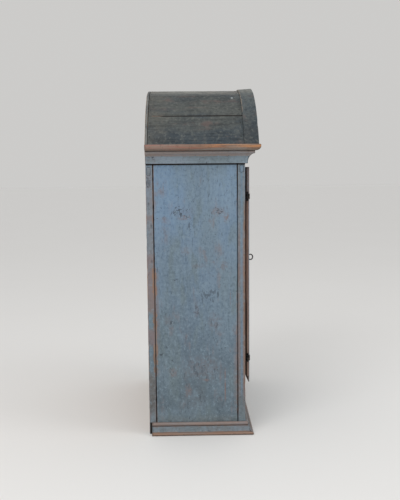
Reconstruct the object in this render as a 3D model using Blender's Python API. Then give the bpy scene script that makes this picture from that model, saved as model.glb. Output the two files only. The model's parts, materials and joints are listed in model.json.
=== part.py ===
"""Painted wall cabinet with an arched roof, framed and panelled in pine.

The cabinet stands on z = 0 with its front towards -Y and its hinges on the -X side.
The origin is the centre of the overall box, at the floor. All sizes are in metres.
"""

import math

import bmesh
import bpy
from mathutils import Matrix, Vector

# Carcass: the box behind the mouldings.
BODY_W = 0.630
BODY_D = 0.325
CARCASS_H = 0.950
FRAME_T = 0.0240
BACK_FRAME_T = 0.0225
FRONT_STILE_W = 0.066
FRONT_TOP_RAIL_H = 0.071
BACK_STILE_W = 0.055
BACK_TOP_RAIL_H = 0.086
BACK_BOTTOM_RAIL_H = 0.090
SIDE_T = 0.020
SHRINK_GAP = 0.003
TONGUE_T = 0.008
TONGUE_L = 0.006
TENON_T = 0.011
TENON_H = 0.024
TENON_WEB = 0.0015
TENON_SHOULDER = 0.002
BACK_TENON_T = 0.010
BACK_TENON_SHOULDER = 0.010
STUB_TENON_L = 0.040
STUB_TENON_H = 0.105
STUB_MARGIN = 0.030
BACK_STUB_MARGIN = 0.014
HOUSING_DEPTH = 0.0055
BOTTOM_BOARD_T = 0.018
BACK_BOARD_T = 0.009
BACK_BOARD_COUNT = 3
BACK_GROOVE = 0.006
LAP = 0.008

# Shelves on battens, at heights above the cupboard's floor.
SHELF_T = 0.016
LOWER_SHELF_RISE = 0.240
UPPER_SHELF_RISE = 0.486
SHELF_SETBACK = 0.060
BATTEN_T = 0.016
BATTEN_H = 0.018
BATTEN_MARGIN = 0.004

# Front opening and the lipped door that covers it.
OPENING_BOTTOM = 0.180
DOOR_CLEARANCE = 0.002
LIP = 0.018
DOOR_PROUD = 0.0180
LIP_STANDOFF = 0.006
LIP_CHAMFER = 0.0035
LIP_ROUND = 0.003
LIP_UNDERCUT_H = 0.018
DOOR_INSET = 0.008
DOOR_STILE_W = 0.080
DOOR_TOP_RAIL_H = 0.085
DOOR_BOTTOM_RAIL_H = 0.095
DOOR_GROOVE_D = 0.010
DOOR_GROOVE_W = 0.008
DOOR_GROOVE_CHEEK = 0.0065
DOOR_TENON_L = 0.045
DOOR_TENON_MARGIN = 0.014
PANEL_PLAY = 0.002
PANEL_REVEAL = 0.003
PANEL_BEVEL_W = 0.040
PANEL_BEVEL_RISE = 0.0035
PANEL_STEP = 0.002
PANEL_STEP_W = 0.0005

# Cornice: a cove under an ovolo, mitred round the front corners.
COVE_H = 0.041
COVE_FOOT = 0.008
COVE_HEAD = 0.0295
COVE_FILLET = 0.004
COVE_CAP = 0.009
OVOLO_H = 0.020
OVOLO_QUIRK = 0.003
OVOLO_SWELL = 0.015
OVOLO_LIP = 0.006
OVOLO_ROUND = 0.003

# Base moulding: a half-round toe, a hollow and a bead.
BASE_H = 0.040
BASE_TOE_H = 0.0095
BASE_TOE_OUT = 0.0085
BASE_HOLLOW_HEAD = 0.0125
BASE_HOLLOW_SPREAD = 0.005
BASE_BEAD_H = 0.0105
BASE_BEAD_OUT = 0.0035
BASE_QUIRK = 0.006
BASE_QUIRK_H = 0.002
BASE_BACK_SETBACK = 0.009

# Arched roof: boards nailed over two gables, with a moulded rim in front.
ROOF_OVERHANG = 0.027
ROOF_RISE = 0.202
ROOF_BOARD_T = 0.012
ROOF_LOW_BOARD_W = 0.1205
ROOF_MID_BOARD_W = 0.138
ROOF_BOARD_FLATNESS = 0.5
ROOF_CRACK = 0.0012
TYMPANUM_T = 0.018
TYMPANUM_SETBACK = 0.005
GABLE_T = 0.020
GABLE_RIM_T = 0.0085
RIM_PROUD = 0.0025
RIM_FLARE = 0.003
RIM_PROJECTION = 0.0425
RIM_NOSE_H = 0.007
RIM_OVOLO_H = 0.013
RIM_OVOLO_DROP = 0.017
RIM_FILLET = 0.006
RIM_COVE_H = 0.028
RIM_COVE_FOOT = 0.009
RIM_FOOT_FILLET = 0.006
RIM_JOINT_DEG = 30.0

# Lift-off hinges: a pin on each frame leaf, a socket in each door leaf.
LOWER_HINGE_RISE = 0.088
UPPER_HINGE_DROP = 0.097
KNUCKLE_R = 0.0075
KNUCKLE_H = 0.009
KNUCKLE_CLEARANCE = 0.0008
KNUCKLE_STANDOFF = 0.004
HINGE_PIN_R = 0.0032
HINGE_PIN_L = 0.0075
HINGE_LEAF_T = 0.002
FRAME_LEAF_COVER = 0.0065
DOOR_LEAF_DEPTH = 0.022
FINIAL_R = 0.0030
FINIAL_NECK_R = 0.0022
FINIAL_NECK_H = 0.001

# Lock, key and strike.
KEY_FROM_LIP_EDGE = 0.047
KEY_ABOVE_MIDDLE = 0.004
CASE_W = 0.054
CASE_H = 0.068
CASE_D = 0.015
CASE_WALL = 0.0018
CASE_EDGE_MARGIN = 0.002
BOLT_T = 0.005
BOLT_H = 0.012
BOLT_FROM_DOOR = 0.0065
BOLT_ABOVE_KEY = 0.0095
BOLT_THROW = 0.012
BOLT_TAIL = 0.0025
KEY_TURN_DEG = 180.0
KEY_REACH = 0.0595
KEY_SHANK_R = 0.0034
KEY_BIT_R = 0.014
KEY_BIT_T = 0.0026
KEY_BIT_W = 0.007
KEY_WARD_W = 0.0016
KEY_WARD_D = 0.005
KEY_BOW_H = 0.026
KEY_BOW_L = 0.024
KEY_BOW_WIRE_R = 0.0023
KEY_COLLAR_R = 0.0052
KEY_COLLAR_L = 0.006
KEYHOLE_CLEARANCE = 0.001
ESCUTCHEON_H = 0.046
ESCUTCHEON_W = 0.028
ESCUTCHEON_T = 0.0012
SPRING_T = 0.0008
SPRING_W = 0.005
STRIKE_H = 0.048
STRIKE_W = 0.015
STRIKE_T = 0.0013
STRIKE_SLOT_CLEARANCE = 0.001
STRIKE_POCKET = 0.014

# Fits.
GAP = 0.0003
MITRE_GAP = 0.0002
OVERCUT = 0.002

# How finely round forms are cut.
ARC_STEPS = 8
SMALL_ARC_STEPS = 4
ROUND_STEPS = 16
BOARD_STEPS = 4
RIM_STEP_DEG = 4.0
BOW_TURNS = 24
BOW_SIDES = 8

# Places worked out from the sizes above.
HALF_W = BODY_W / 2
DEPTH_OVERALL = BODY_D + DOOR_PROUD + KEY_REACH
FACE_Y = DOOR_PROUD + KEY_REACH - DEPTH_OVERALL / 2
BACK_Y = FACE_Y + BODY_D
FRAME_BACK_Y = FACE_Y + FRAME_T
BACK_FRAME_Y = BACK_Y - BACK_FRAME_T
SIDE_INNER = HALF_W - SIDE_T
TONGUE_INNER = HALF_W - SIDE_T / 2 - TONGUE_T / 2
TONGUE_OUTER = TONGUE_INNER + TONGUE_T
OPENING_HALF = HALF_W - FRONT_STILE_W
OPENING_TOP = CARCASS_H - FRONT_TOP_RAIL_H
FLOOR_Z = OPENING_BOTTOM - GAP
BACK_STILE_EDGE = HALF_W - BACK_STILE_W
COVE_Z = CARCASS_H - COVE_H
OVOLO_Z = CARCASS_H + GAP
OVOLO_TOP = OVOLO_Z + OVOLO_H
ROOF_Z = OVOLO_TOP + GAP

DOOR_HALF = OPENING_HALF + LIP
DOOR_BOTTOM = OPENING_BOTTOM - LIP
DOOR_TOP = OPENING_TOP + LIP
DOOR_FRONT_Y = FACE_Y - DOOR_PROUD
LIP_BACK_Y = FACE_Y - LIP_STANDOFF
DOOR_BACK_Y = FACE_Y + DOOR_INSET
REBATE_HALF = OPENING_HALF - DOOR_CLEARANCE
REBATE_LOW = OPENING_BOTTOM + DOOR_CLEARANCE
REBATE_HIGH = OPENING_TOP - DOOR_CLEARANCE
DOOR_SIGHT = DOOR_HALF - DOOR_STILE_W
DOOR_GROOVE_FRONT_Y = DOOR_FRONT_Y + DOOR_GROOVE_CHEEK
DOOR_GROOVE_BACK_Y = DOOR_GROOVE_FRONT_Y + DOOR_GROOVE_W

HINGE_X = -(DOOR_HALF + KNUCKLE_R + KNUCKLE_CLEARANCE)
HINGE_Y = FACE_Y - KNUCKLE_STANDOFF - KNUCKLE_R
HINGE_LEVELS = {"lower": DOOR_BOTTOM + LOWER_HINGE_RISE, "upper": DOOR_TOP - UPPER_HINGE_DROP}

LOCK_Z = (DOOR_BOTTOM + DOOR_TOP) / 2 + KEY_ABOVE_MIDDLE
KEY_X = DOOR_HALF - KEY_FROM_LIP_EDGE
CASE_RIGHT = REBATE_HALF - CASE_EDGE_MARGIN
CASE_LEFT = CASE_RIGHT - CASE_W
CASE_FRONT_Y = DOOR_BACK_Y + GAP
CASE_BACK_Y = CASE_FRONT_Y + CASE_D
BOLT_MID_Y = CASE_FRONT_Y + BOLT_FROM_DOOR
BOLT_FRONT_Y = BOLT_MID_Y - BOLT_T / 2
BOLT_BACK_Y = BOLT_MID_Y + BOLT_T / 2
BOLT_Z = LOCK_Z + BOLT_ABOVE_KEY
BOLT_TOP = BOLT_Z + BOLT_H
KEY_TIP_Y = CASE_BACK_Y - CASE_WALL - GAP

ROOF_HALF_SPAN = HALF_W + ROOF_OVERHANG
ROOF_R = (ROOF_HALF_SPAN**2 + ROOF_RISE**2) / (2 * ROOF_RISE)
RIM_CREST_R = ROOF_R + RIM_PROUD + RIM_FLARE
ROOF_CENTRE_Z = ROOF_Z + ROOF_RISE - ROOF_R
ROOF_HALF_ANGLE = math.asin(ROOF_HALF_SPAN / ROOF_R)
LOW_JOINT = ROOF_HALF_ANGLE - ROOF_LOW_BOARD_W / ROOF_R
MID_JOINT = LOW_JOINT - ROOF_MID_BOARD_W / ROOF_R
BOARD_EDGES = (
    -ROOF_HALF_ANGLE, -LOW_JOINT, -MID_JOINT, 0.0, MID_JOINT, LOW_JOINT, ROOF_HALF_ANGLE,
)
BOARD_INNER_R = ROOF_R - ROOF_BOARD_T
SEAT_R = BOARD_INNER_R - GAP
TYMPANUM_Y = FACE_Y + TYMPANUM_SETBACK
GABLE_RIM_Y = BACK_Y - GABLE_RIM_T


# Materials

def painted(name, colour, roughness, metallic=0.0):
    material = bpy.data.materials.new(name)
    material.use_nodes = True
    shader = material.node_tree.nodes["Principled BSDF"]
    shader.inputs["Base Color"].default_value = (*colour, 1.0)
    shader.inputs["Roughness"].default_value = roughness
    shader.inputs["Metallic"].default_value = metallic
    return material


def make_materials():
    return {
        "blue": painted("blue_paint", (0.17, 0.25, 0.33), 0.6),
        "roof": painted("dark_roof_paint", (0.09, 0.11, 0.11), 0.65),
        "bare": painted("worn_bare_wood", (0.30, 0.19, 0.12), 0.6),
        "pine": painted("aged_pine", (0.36, 0.25, 0.16), 0.7),
        "iron": painted("forged_iron", (0.05, 0.05, 0.05), 0.5, 0.9),
    }


# Shape helpers

AXES = {"x": (1, 2, 0), "y": (0, 2, 1), "z": (0, 1, 2)}
SIDES = (("left", -1), ("right", 1))


def point_on(axis, pair, along):
    """A 3-D point from a pair in the outline's plane and a place along the axis."""
    first, second, third = AXES[axis]
    point = [0.0, 0.0, 0.0]
    point[first] = pair[0]
    point[second] = pair[1]
    point[third] = along
    return point


def prism(outline, axis, start, end):
    """The outline extruded along an axis. Outlines are (x, y), (x, z) or (y, z) pairs."""
    bm = bmesh.new()
    corners = [bm.verts.new(point_on(axis, pair, start)) for pair in outline]
    face = bm.faces.new(corners)
    made = bmesh.ops.extrude_face_region(bm, geom=[face])["geom"]
    moved = [item for item in made if isinstance(item, bmesh.types.BMVert)]
    bmesh.ops.translate(bm, verts=moved, vec=point_on(axis, (0, 0), end - start))
    bmesh.ops.recalc_face_normals(bm, faces=bm.faces)
    return bm


def block(low, high):
    """A plain board between two corners."""
    outline = [(low[0], low[1]), (high[0], low[1]), (high[0], high[1]), (low[0], high[1])]
    return prism(outline, "z", low[2], high[2])


def side_block(sign, across, depth, height):
    """A board on one side of the cabinet, from pairs of places in x, y and z."""
    low, high = sorted((sign * across[0], sign * across[1]))
    return block((low, depth[0], height[0]), (high, depth[1], height[1]))


def grown(pair, by=GAP):
    """A (low, high) pair opened out by a fit."""
    return pair[0] - by, pair[1] + by


def turned(profile, centre, axis):
    """A lathe shape: (radius, along) pairs spun about an axis through the centre."""
    bm = bmesh.new()
    first, _, third = AXES[axis]
    corners = []
    for radius, along in profile:
        point = list(centre)
        point[first] += radius
        point[third] = along
        corners.append(bm.verts.new(point))
    edges = [bm.edges.new(pair) for pair in zip(corners, corners[1:])]
    bmesh.ops.spin(
        bm, geom=corners + edges, cent=centre, axis=point_on(axis, (0, 0), 1),
        angle=2 * math.pi, steps=ROUND_STEPS, use_merge=True,
    )
    bmesh.ops.remove_doubles(bm, verts=bm.verts, dist=1e-6)
    bmesh.ops.recalc_face_normals(bm, faces=bm.faces)
    return bm


def bridged(rings):
    """Joins a row of rings of points into one solid with flat ends."""
    bm = bmesh.new()
    loops = [[bm.verts.new(point) for point in ring] for ring in rings]
    bm.faces.new(loops[0])
    bm.faces.new(loops[-1])
    for near, far in zip(loops, loops[1:]):
        for i, corner in enumerate(near):
            bm.faces.new((near[i - 1], corner, far[i], far[i - 1]))
    bmesh.ops.recalc_face_normals(bm, faces=bm.faces)
    return bm


def cut_level(bm, level):
    """Removes everything below a level and closes the cut."""
    geometry = list(bm.verts) + list(bm.edges) + list(bm.faces)
    made = bmesh.ops.bisect_plane(
        bm, geom=geometry, plane_co=(0, 0, level), plane_no=(0, 0, 1), clear_inner=True
    )
    edges = [item for item in made["geom_cut"] if isinstance(item, bmesh.types.BMEdge)]
    bmesh.ops.contextual_create(bm, geom=edges)
    bmesh.ops.recalc_face_normals(bm, faces=bm.faces)
    return bm


def sided(outline, sign):
    """A right-hand outline, or its reflection for the left-hand side."""
    return [(sign * x, other) for x, other in outline]


def arc(centre, radii, start_deg, end_deg, steps=ARC_STEPS):
    """Points of a circular or elliptical arc."""
    points = []
    for i in range(steps + 1):
        angle = math.radians(start_deg + (end_deg - start_deg) * i / steps)
        x = centre[0] + radii[0] * math.cos(angle)
        y = centre[1] + radii[1] * math.sin(angle)
        points.append((x, y))
    return points


class Workshop:
    """Makes the named pieces, with their cuts, materials and parents."""

    def __init__(self):
        self.materials = make_materials()
        self.helper_count = 0

    def pivot(self, name, place):
        empty = bpy.data.objects.new(name, None)
        bpy.context.scene.collection.objects.link(empty)
        empty.location = place
        return empty

    def mesh_object(self, name, bm):
        mesh = bpy.data.meshes.new(name)
        bm.to_mesh(mesh)
        bm.free()
        obj = bpy.data.objects.new(name, mesh)
        bpy.context.scene.collection.objects.link(obj)
        return obj

    def helper(self, bm):
        """A hidden shape that only cuts or joins."""
        self.helper_count += 1
        obj = self.mesh_object(f"helper_{self.helper_count:03d}", bm)
        obj.hide_render = True
        obj.display_type = "WIRE"
        return obj

    def piece(self, name, bm, material, parent=None, origin=None, joins=(), cuts=(), smooth=False):
        """One named piece. Joins are fused on first, and then cuts are taken away."""
        obj = self.mesh_object(name, bm)
        obj.data.materials.append(self.materials[material])
        base = parent.location if parent else Vector()
        place = Vector(origin) if origin else base.copy()
        obj.data.transform(Matrix.Translation(-place))
        obj.location = place - base
        obj.parent = parent
        if smooth:
            obj.data.shade_smooth()
            obj.data.set_sharp_from_angle(angle=math.radians(35))
        for operation, shapes in (("UNION", joins), ("DIFFERENCE", cuts)):
            for shape in shapes:
                modifier = obj.modifiers.new(operation.lower(), "BOOLEAN")
                modifier.operation = operation
                modifier.solver = "EXACT"
                modifier.object = self.helper(shape)


# Carcass

def front_tenons():
    """Depth of the front frame's tenons, then heights of the top and bottom ones."""
    back = FRAME_BACK_Y - TONGUE_L - TENON_WEB
    top_low = OPENING_TOP + TENON_SHOULDER
    stub_top = OPENING_BOTTOM - STUB_MARGIN
    return (back - TENON_T, back), (top_low, top_low + TENON_H), (stub_top - STUB_TENON_H, stub_top)


def back_tenons():
    """Depth of the back frame's tenons, then heights of the top and bottom ones."""
    front = BACK_FRAME_Y + TONGUE_L + TENON_WEB
    top_low = CARCASS_H - BACK_TOP_RAIL_H + BACK_TENON_SHOULDER
    stub = (BACK_STUB_MARGIN, BACK_BOTTOM_RAIL_H - BACK_STUB_MARGIN)
    return (front, front + BACK_TENON_T), (top_low, top_low + TENON_H), stub


def front_frame(shop):
    depth, top, stub = front_tenons()
    groove = grown((TONGUE_INNER, TONGUE_OUTER))
    groove_floor = FRAME_BACK_Y - TONGUE_L
    outline = [
        (HALF_W, FACE_Y),
        (OPENING_HALF, FACE_Y),
        (OPENING_HALF, FRAME_BACK_Y),
        (groove[0], FRAME_BACK_Y),
        (groove[0], groove_floor),
        (groove[1], groove_floor),
        (groove[1], FRAME_BACK_Y),
        (HALF_W, FRAME_BACK_Y),
    ]
    mouth = OPENING_HALF - OVERCUT
    stub_end = OPENING_HALF + STUB_TENON_L
    for side, sign in SIDES:
        cuts = [
            side_block(sign, (mouth, HALF_W + OVERCUT), grown(depth), grown(top)),
            side_block(sign, (mouth, stub_end + GAP), grown(depth), grown(stub)),
        ]
        if side == "left":
            cuts += [frame_leaf_slot(level) for level in HINGE_LEVELS.values()]
        else:
            cuts += [strike_recess(), strike_pocket()]
        bm = prism(sided(outline, sign), "z", 0, CARCASS_H)
        shop.piece(f"front_stile_{side}", bm, "blue", cuts=cuts)
    half = OPENING_HALF - GAP
    for name, low, high, tenon, reach in (
        ("front_top_rail", OPENING_TOP, CARCASS_H, top, HALF_W),
        ("front_bottom_rail", 0, OPENING_BOTTOM, stub, stub_end),
    ):
        body = block((-half, FACE_Y, low), (half, FRAME_BACK_Y, high))
        tenons = block((-reach, depth[0], tenon[0]), (reach, depth[1], tenon[1]))
        shop.piece(name, body, "blue", joins=[tenons])


def back_frame(shop):
    depth, top, stub = back_tenons()
    groove = grown((TONGUE_INNER, TONGUE_OUTER))
    groove_floor = BACK_FRAME_Y + TONGUE_L
    board = grown(back_board_depth())
    outline = [
        (HALF_W, BACK_Y),
        (BACK_STILE_EDGE, BACK_Y),
        (BACK_STILE_EDGE, board[1]),
        (BACK_STILE_EDGE + BACK_GROOVE, board[1]),
        (BACK_STILE_EDGE + BACK_GROOVE, board[0]),
        (BACK_STILE_EDGE, board[0]),
        (BACK_STILE_EDGE, BACK_FRAME_Y),
        (groove[0], BACK_FRAME_Y),
        (groove[0], groove_floor),
        (groove[1], groove_floor),
        (groove[1], BACK_FRAME_Y),
        (HALF_W, BACK_FRAME_Y),
    ]
    mouth = BACK_STILE_EDGE - OVERCUT
    stub_end = BACK_STILE_EDGE + STUB_TENON_L
    for side, sign in SIDES:
        cuts = [
            side_block(sign, (mouth, HALF_W + OVERCUT), grown(depth), grown(top)),
            side_block(sign, (mouth, stub_end + GAP), grown(depth), grown(stub)),
        ]
        bm = prism(sided(outline, sign), "z", 0, CARCASS_H)
        shop.piece(f"back_stile_{side}", bm, "blue", cuts=cuts)
    half = BACK_STILE_EDGE - GAP
    past = half + OVERCUT
    edge = CARCASS_H - BACK_TOP_RAIL_H
    body = block((-half, BACK_FRAME_Y, edge), (half, BACK_Y, CARCASS_H))
    tenons = block((-HALF_W, depth[0], top[0]), (HALF_W, depth[1], top[1]))
    channel = block((-past, board[0], edge - OVERCUT), (past, board[1], edge + BACK_GROOVE))
    shop.piece("back_top_rail", body, "pine", joins=[tenons], cuts=[channel])
    edge = BACK_BOTTOM_RAIL_H
    body = block((-half, BACK_FRAME_Y, 0), (half, BACK_Y, edge))
    tenons = block((-stub_end, depth[0], stub[0]), (stub_end, depth[1], stub[1]))
    channel = block((-past, board[0], edge - BACK_GROOVE), (past, board[1], edge + OVERCUT))
    shop.piece("back_bottom_rail", body, "pine", joins=[tenons], cuts=[channel])


def back_board_depth():
    """Front and back of the thin boards in the back frame's groove."""
    middle = BACK_Y - BACK_FRAME_T / 2
    return middle - BACK_BOARD_T / 2, middle + BACK_BOARD_T / 2


def back_boards(shop):
    """Upright boards whose edges lap over each other by half their thickness."""
    front, back = back_board_depth()
    middle = (front + back) / 2
    edge = BACK_STILE_EDGE + BACK_GROOVE - GAP
    width = 2 * edge / BACK_BOARD_COUNT
    low = BACK_BOTTOM_RAIL_H - BACK_GROOVE + GAP
    high = CARCASS_H - BACK_TOP_RAIL_H + BACK_GROOVE - GAP
    for i in range(BACK_BOARD_COUNT):
        left = -edge + i * width
        right = left + width
        first = [(left, front), (left, back)]
        last = [(right, back), (right, front)]
        if i > 0:
            short = left + LAP / 2 + GAP
            long = left - LAP / 2 + GAP
            step = middle + GAP / 2
            first = [(short, front), (short, step), (long, step), (long, back)]
        if i < BACK_BOARD_COUNT - 1:
            short = right - LAP / 2
            long = right + LAP / 2
            step = middle - GAP / 2
            last = [(short, back), (short, step), (long, step), (long, front)]
        shop.piece(f"back_board_{i + 1}", prism(first + last, "z", low, high), "pine")


def side_panels(shop):
    """Wide boards, tongued into the stiles, that have shrunk a little away from them."""
    front = FRAME_BACK_Y + SHRINK_GAP
    back = BACK_FRAME_Y - SHRINK_GAP
    tip_front = FRAME_BACK_Y - TONGUE_L + GAP
    tip_back = BACK_FRAME_Y + TONGUE_L - GAP
    outline = [
        (HALF_W, front),
        (TONGUE_OUTER, front),
        (TONGUE_OUTER, tip_front),
        (TONGUE_INNER, tip_front),
        (TONGUE_INNER, front),
        (SIDE_INNER, front),
        (SIDE_INNER, back),
        (TONGUE_INNER, back),
        (TONGUE_INNER, tip_back),
        (TONGUE_OUTER, tip_back),
        (TONGUE_OUTER, back),
        (HALF_W, back),
    ]
    for side, sign in SIDES:
        housing = side_block(
            sign,
            (SIDE_INNER - OVERCUT, SIDE_INNER + HOUSING_DEPTH),
            (FRAME_BACK_Y - OVERCUT, BACK_FRAME_Y + OVERCUT),
            grown((FLOOR_Z - BOTTOM_BOARD_T, FLOOR_Z)),
        )
        bm = prism(sided(outline, sign), "z", 0, CARCASS_H)
        shop.piece(f"side_panel_{side}", bm, "blue", cuts=[housing])


def inner_boards(shop):
    front = FRAME_BACK_Y + GAP
    back = BACK_FRAME_Y - GAP
    half = SIDE_INNER + HOUSING_DEPTH - GAP
    floor = block((-half, front, FLOOR_Z - BOTTOM_BOARD_T), (half, back, FLOOR_Z))
    shop.piece("bottom_board", floor, "pine")
    shop.piece("top_board", block((-HALF_W, FACE_Y, OVOLO_Z), (HALF_W, BACK_Y, OVOLO_TOP)), "pine")
    half = SIDE_INNER - GAP
    for name, rise in (("lower", LOWER_SHELF_RISE), ("upper", UPPER_SHELF_RISE)):
        level = FLOOR_Z + rise
        board = block((-half, FACE_Y + SHELF_SETBACK, level), (half, back, level + SHELF_T))
        shop.piece(f"shelf_{name}", board, "pine")
        for side, sign in SIDES:
            batten = side_block(
                sign,
                (half - BATTEN_T, half),
                (front + BATTEN_MARGIN, back - BATTEN_MARGIN),
                (level - GAP - BATTEN_H, level - GAP),
            )
            shop.piece(f"batten_{name}_{side}", batten, "pine")


# Mouldings

def cove_profile():
    """(projection, height) pairs of the cornice's hollow."""
    curve_h = COVE_H - COVE_FILLET - COVE_CAP
    spring = (COVE_HEAD, COVE_Z + COVE_FILLET)
    hollow = arc(spring, (COVE_HEAD - COVE_FOOT, curve_h), 180, 90)
    return [(0, COVE_Z), (COVE_FOOT, COVE_Z), *hollow, (COVE_HEAD, CARCASS_H), (0, CARCASS_H)]


def ovolo_profile():
    """(projection, height) pairs of the rounded strip over the cove."""
    foot = COVE_HEAD + OVOLO_QUIRK
    round_h = OVOLO_H - OVOLO_LIP
    nose = foot + OVOLO_SWELL
    swell = arc((foot, OVOLO_Z + round_h), (OVOLO_SWELL, round_h), -90, 0)
    brow_middle = (nose - OVOLO_ROUND, OVOLO_TOP - OVOLO_ROUND)
    brow = arc(brow_middle, (OVOLO_ROUND, OVOLO_ROUND), 0, 90, SMALL_ARC_STEPS)
    return [(0, OVOLO_Z), *swell, *brow, (0, OVOLO_TOP)]


def base_profile():
    """(projection, height) pairs of the base, from the floor up."""
    hollow_foot = BASE_HOLLOW_HEAD + BASE_HOLLOW_SPREAD
    toe_r = BASE_TOE_H / 2
    toe = arc((hollow_foot + BASE_TOE_OUT - toe_r, toe_r), (toe_r, toe_r), -90, 90)
    hollow_low = BASE_TOE_H + BASE_QUIRK_H
    bead_low = BASE_H - BASE_BEAD_H
    hollow_high = bead_low - BASE_QUIRK_H
    hollow_radii = (BASE_HOLLOW_SPREAD, hollow_high - hollow_low)
    hollow = arc((hollow_foot, hollow_high), hollow_radii, 270, 180)
    bead_r = BASE_BEAD_H / 2
    bead = arc((BASE_QUIRK, bead_low + bead_r), (BASE_BEAD_OUT, bead_r), -90, 90)
    return [
        (0, 0), *toe, (hollow_foot, BASE_TOE_H), *hollow,
        (BASE_QUIRK, hollow_high), *bead, (0, BASE_H),
    ]


def side_moulding(profile, sign, back):
    """A moulding along one side, square at the back and mitred at the front."""
    rear = []
    front = []
    for out, level in profile:
        x = sign * (HALF_W + GAP + out)
        rear.append((x, back, level))
        front.append((x, FACE_Y - GAP - out + MITRE_GAP, level))
    return bridged([rear, front])


def front_moulding(profile):
    """A moulding across the front, mitred at both ends."""
    left = []
    right = []
    for out, level in profile:
        x = HALF_W + GAP + out - MITRE_GAP
        left.append((-x, FACE_Y - GAP - out, level))
        right.append((x, FACE_Y - GAP - out, level))
    return bridged([left, right])


def mouldings(shop):
    for name, profile, material, back in (
        ("cornice_cove", cove_profile(), "blue", BACK_Y),
        ("cornice_ovolo", ovolo_profile(), "bare", BACK_Y),
        ("base_moulding", base_profile(), "blue", BACK_Y - BASE_BACK_SETBACK),
    ):
        for side, sign in SIDES:
            shop.piece(f"{name}_{side}", side_moulding(profile, sign, back), material, smooth=True)
        shop.piece(f"{name}_front", front_moulding(profile), material, smooth=True)


# Arched roof

def on_arch(angle, radius):
    """(x, z) on the roof's circle. Angles are from the crown, positive to the right."""
    return radius * math.sin(angle), ROOF_CENTRE_Z + radius * math.cos(angle)


def board_curve(start, end):
    """Points over a roof board, planed between a flat board and the true circle."""
    middle = (start + end) / 2
    points = []
    for i in range(BOARD_STEPS + 1):
        angle = start + (end - start) * i / BOARD_STEPS
        flat = ROOF_R * math.cos(middle - start) / math.cos(angle - middle)
        radius = ROOF_BOARD_FLATNESS * flat + (1 - ROOF_BOARD_FLATNESS) * ROOF_R
        points.append(on_arch(angle, radius))
    return points


def roof_board(start, end):
    """A board over part of the arch, flat where it lies on the gables."""
    inner = [on_arch(end, BOARD_INNER_R), on_arch(start, BOARD_INNER_R)]
    return prism(board_curve(start, end) + inner, "y", TYMPANUM_Y, GABLE_RIM_Y - ROOF_CRACK)


def roof_boards(shop):
    crack = ROOF_CRACK / 2 / ROOF_R
    spans = list(zip(BOARD_EDGES, BOARD_EDGES[1:]))
    boards = [roof_board(start + crack, end - crack) for start, end in spans[1:-1]]
    start, end = spans[0]
    boards.insert(0, cut_level(roof_board(start - crack, end - crack), ROOF_Z))
    start, end = spans[-1]
    boards.append(cut_level(roof_board(start + crack, end + crack), ROOF_Z))
    for i, bm in enumerate(boards, start=1):
        shop.piece(f"roof_board_{i}", bm, "roof", smooth=True)


def seat_shape(front, back):
    """A gable board with one flat for each roof board that is nailed to it."""
    corners = [on_arch(angle, SEAT_R) for angle in BOARD_EDGES]
    return cut_level(prism(corners, "y", front, back), ROOF_Z)


def gables(shop):
    tympanum = seat_shape(TYMPANUM_Y, TYMPANUM_Y + TYMPANUM_T)
    shop.piece("tympanum_board", tympanum, "blue")
    edge = []
    for start, end in zip(BOARD_EDGES, BOARD_EDGES[1:]):
        edge += board_curve(start, end)[:-1]
    edge.append(on_arch(ROOF_HALF_ANGLE, ROOF_R))
    rim = prism(edge, "y", GABLE_RIM_Y, BACK_Y)
    seat = seat_shape(BACK_Y - GABLE_T, BACK_Y - GABLE_RIM_T / 2)
    shop.piece("rear_gable", rim, "roof", joins=[seat])


def rim_profile():
    """(y, radius) pairs of the arched moulding, whose top flares up towards the front."""
    back = TYMPANUM_Y - GAP
    nose = FACE_Y - RIM_PROJECTION
    ovolo_y = nose + RIM_OVOLO_DROP
    swell_top = RIM_CREST_R - RIM_NOSE_H
    swell = arc((ovolo_y, swell_top), (RIM_OVOLO_DROP, RIM_OVOLO_H), 180, 270)
    cove_foot = swell_top - RIM_OVOLO_H - RIM_FILLET - RIM_COVE_H
    foot_y = back - RIM_COVE_FOOT
    hollow = arc((ovolo_y, cove_foot), (foot_y - ovolo_y, RIM_COVE_H), 90, 0)
    foot = cove_foot - RIM_FOOT_FILLET
    top = [(back, ROOF_R + RIM_PROUD), (nose, RIM_CREST_R)]
    return [*top, *swell, *hollow, (foot_y, foot), (back, foot)]


def rim_segment(start, end):
    """The rim's profile swept round part of the arch."""
    steps = round((end - start) / math.radians(RIM_STEP_DEG))
    rings = []
    for i in range(steps + 1):
        angle = start + (end - start) * i / steps
        ring = []
        for y, radius in rim_profile():
            x, z = on_arch(angle, radius)
            ring.append((x, y, z))
        rings.append(ring)
    return bridged(rings)


def arch_rim(shop):
    joint = math.radians(RIM_JOINT_DEG)
    split = MITRE_GAP / ROOF_R
    foot = math.acos((ROOF_Z - ROOF_CENTRE_Z) / RIM_CREST_R) + OVERCUT / RIM_CREST_R
    left = cut_level(rim_segment(-foot, -joint - split), ROOF_Z)
    shop.piece("arch_rim_left", left, "roof", smooth=True)
    shop.piece("arch_rim_crown", rim_segment(-joint + split, joint - split), "roof", smooth=True)
    right = cut_level(rim_segment(joint + split, foot), ROOF_Z)
    shop.piece("arch_rim_right", right, "roof", smooth=True)


# Door

def lip_edge():
    """(inset, y) pairs round the door's lip, from its face to the rebate."""
    middle = (LIP_ROUND, DOOR_FRONT_Y + LIP_ROUND)
    return [
        *arc(middle, (LIP_ROUND, LIP_ROUND), 270, 180, SMALL_ARC_STEPS),
        (0, LIP_BACK_Y - LIP_CHAMFER),
        (LIP_CHAMFER, LIP_BACK_Y),
        (LIP + DOOR_CLEARANCE, LIP_BACK_Y),
        (LIP + DOOR_CLEARANCE, DOOR_BACK_Y),
    ]


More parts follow.
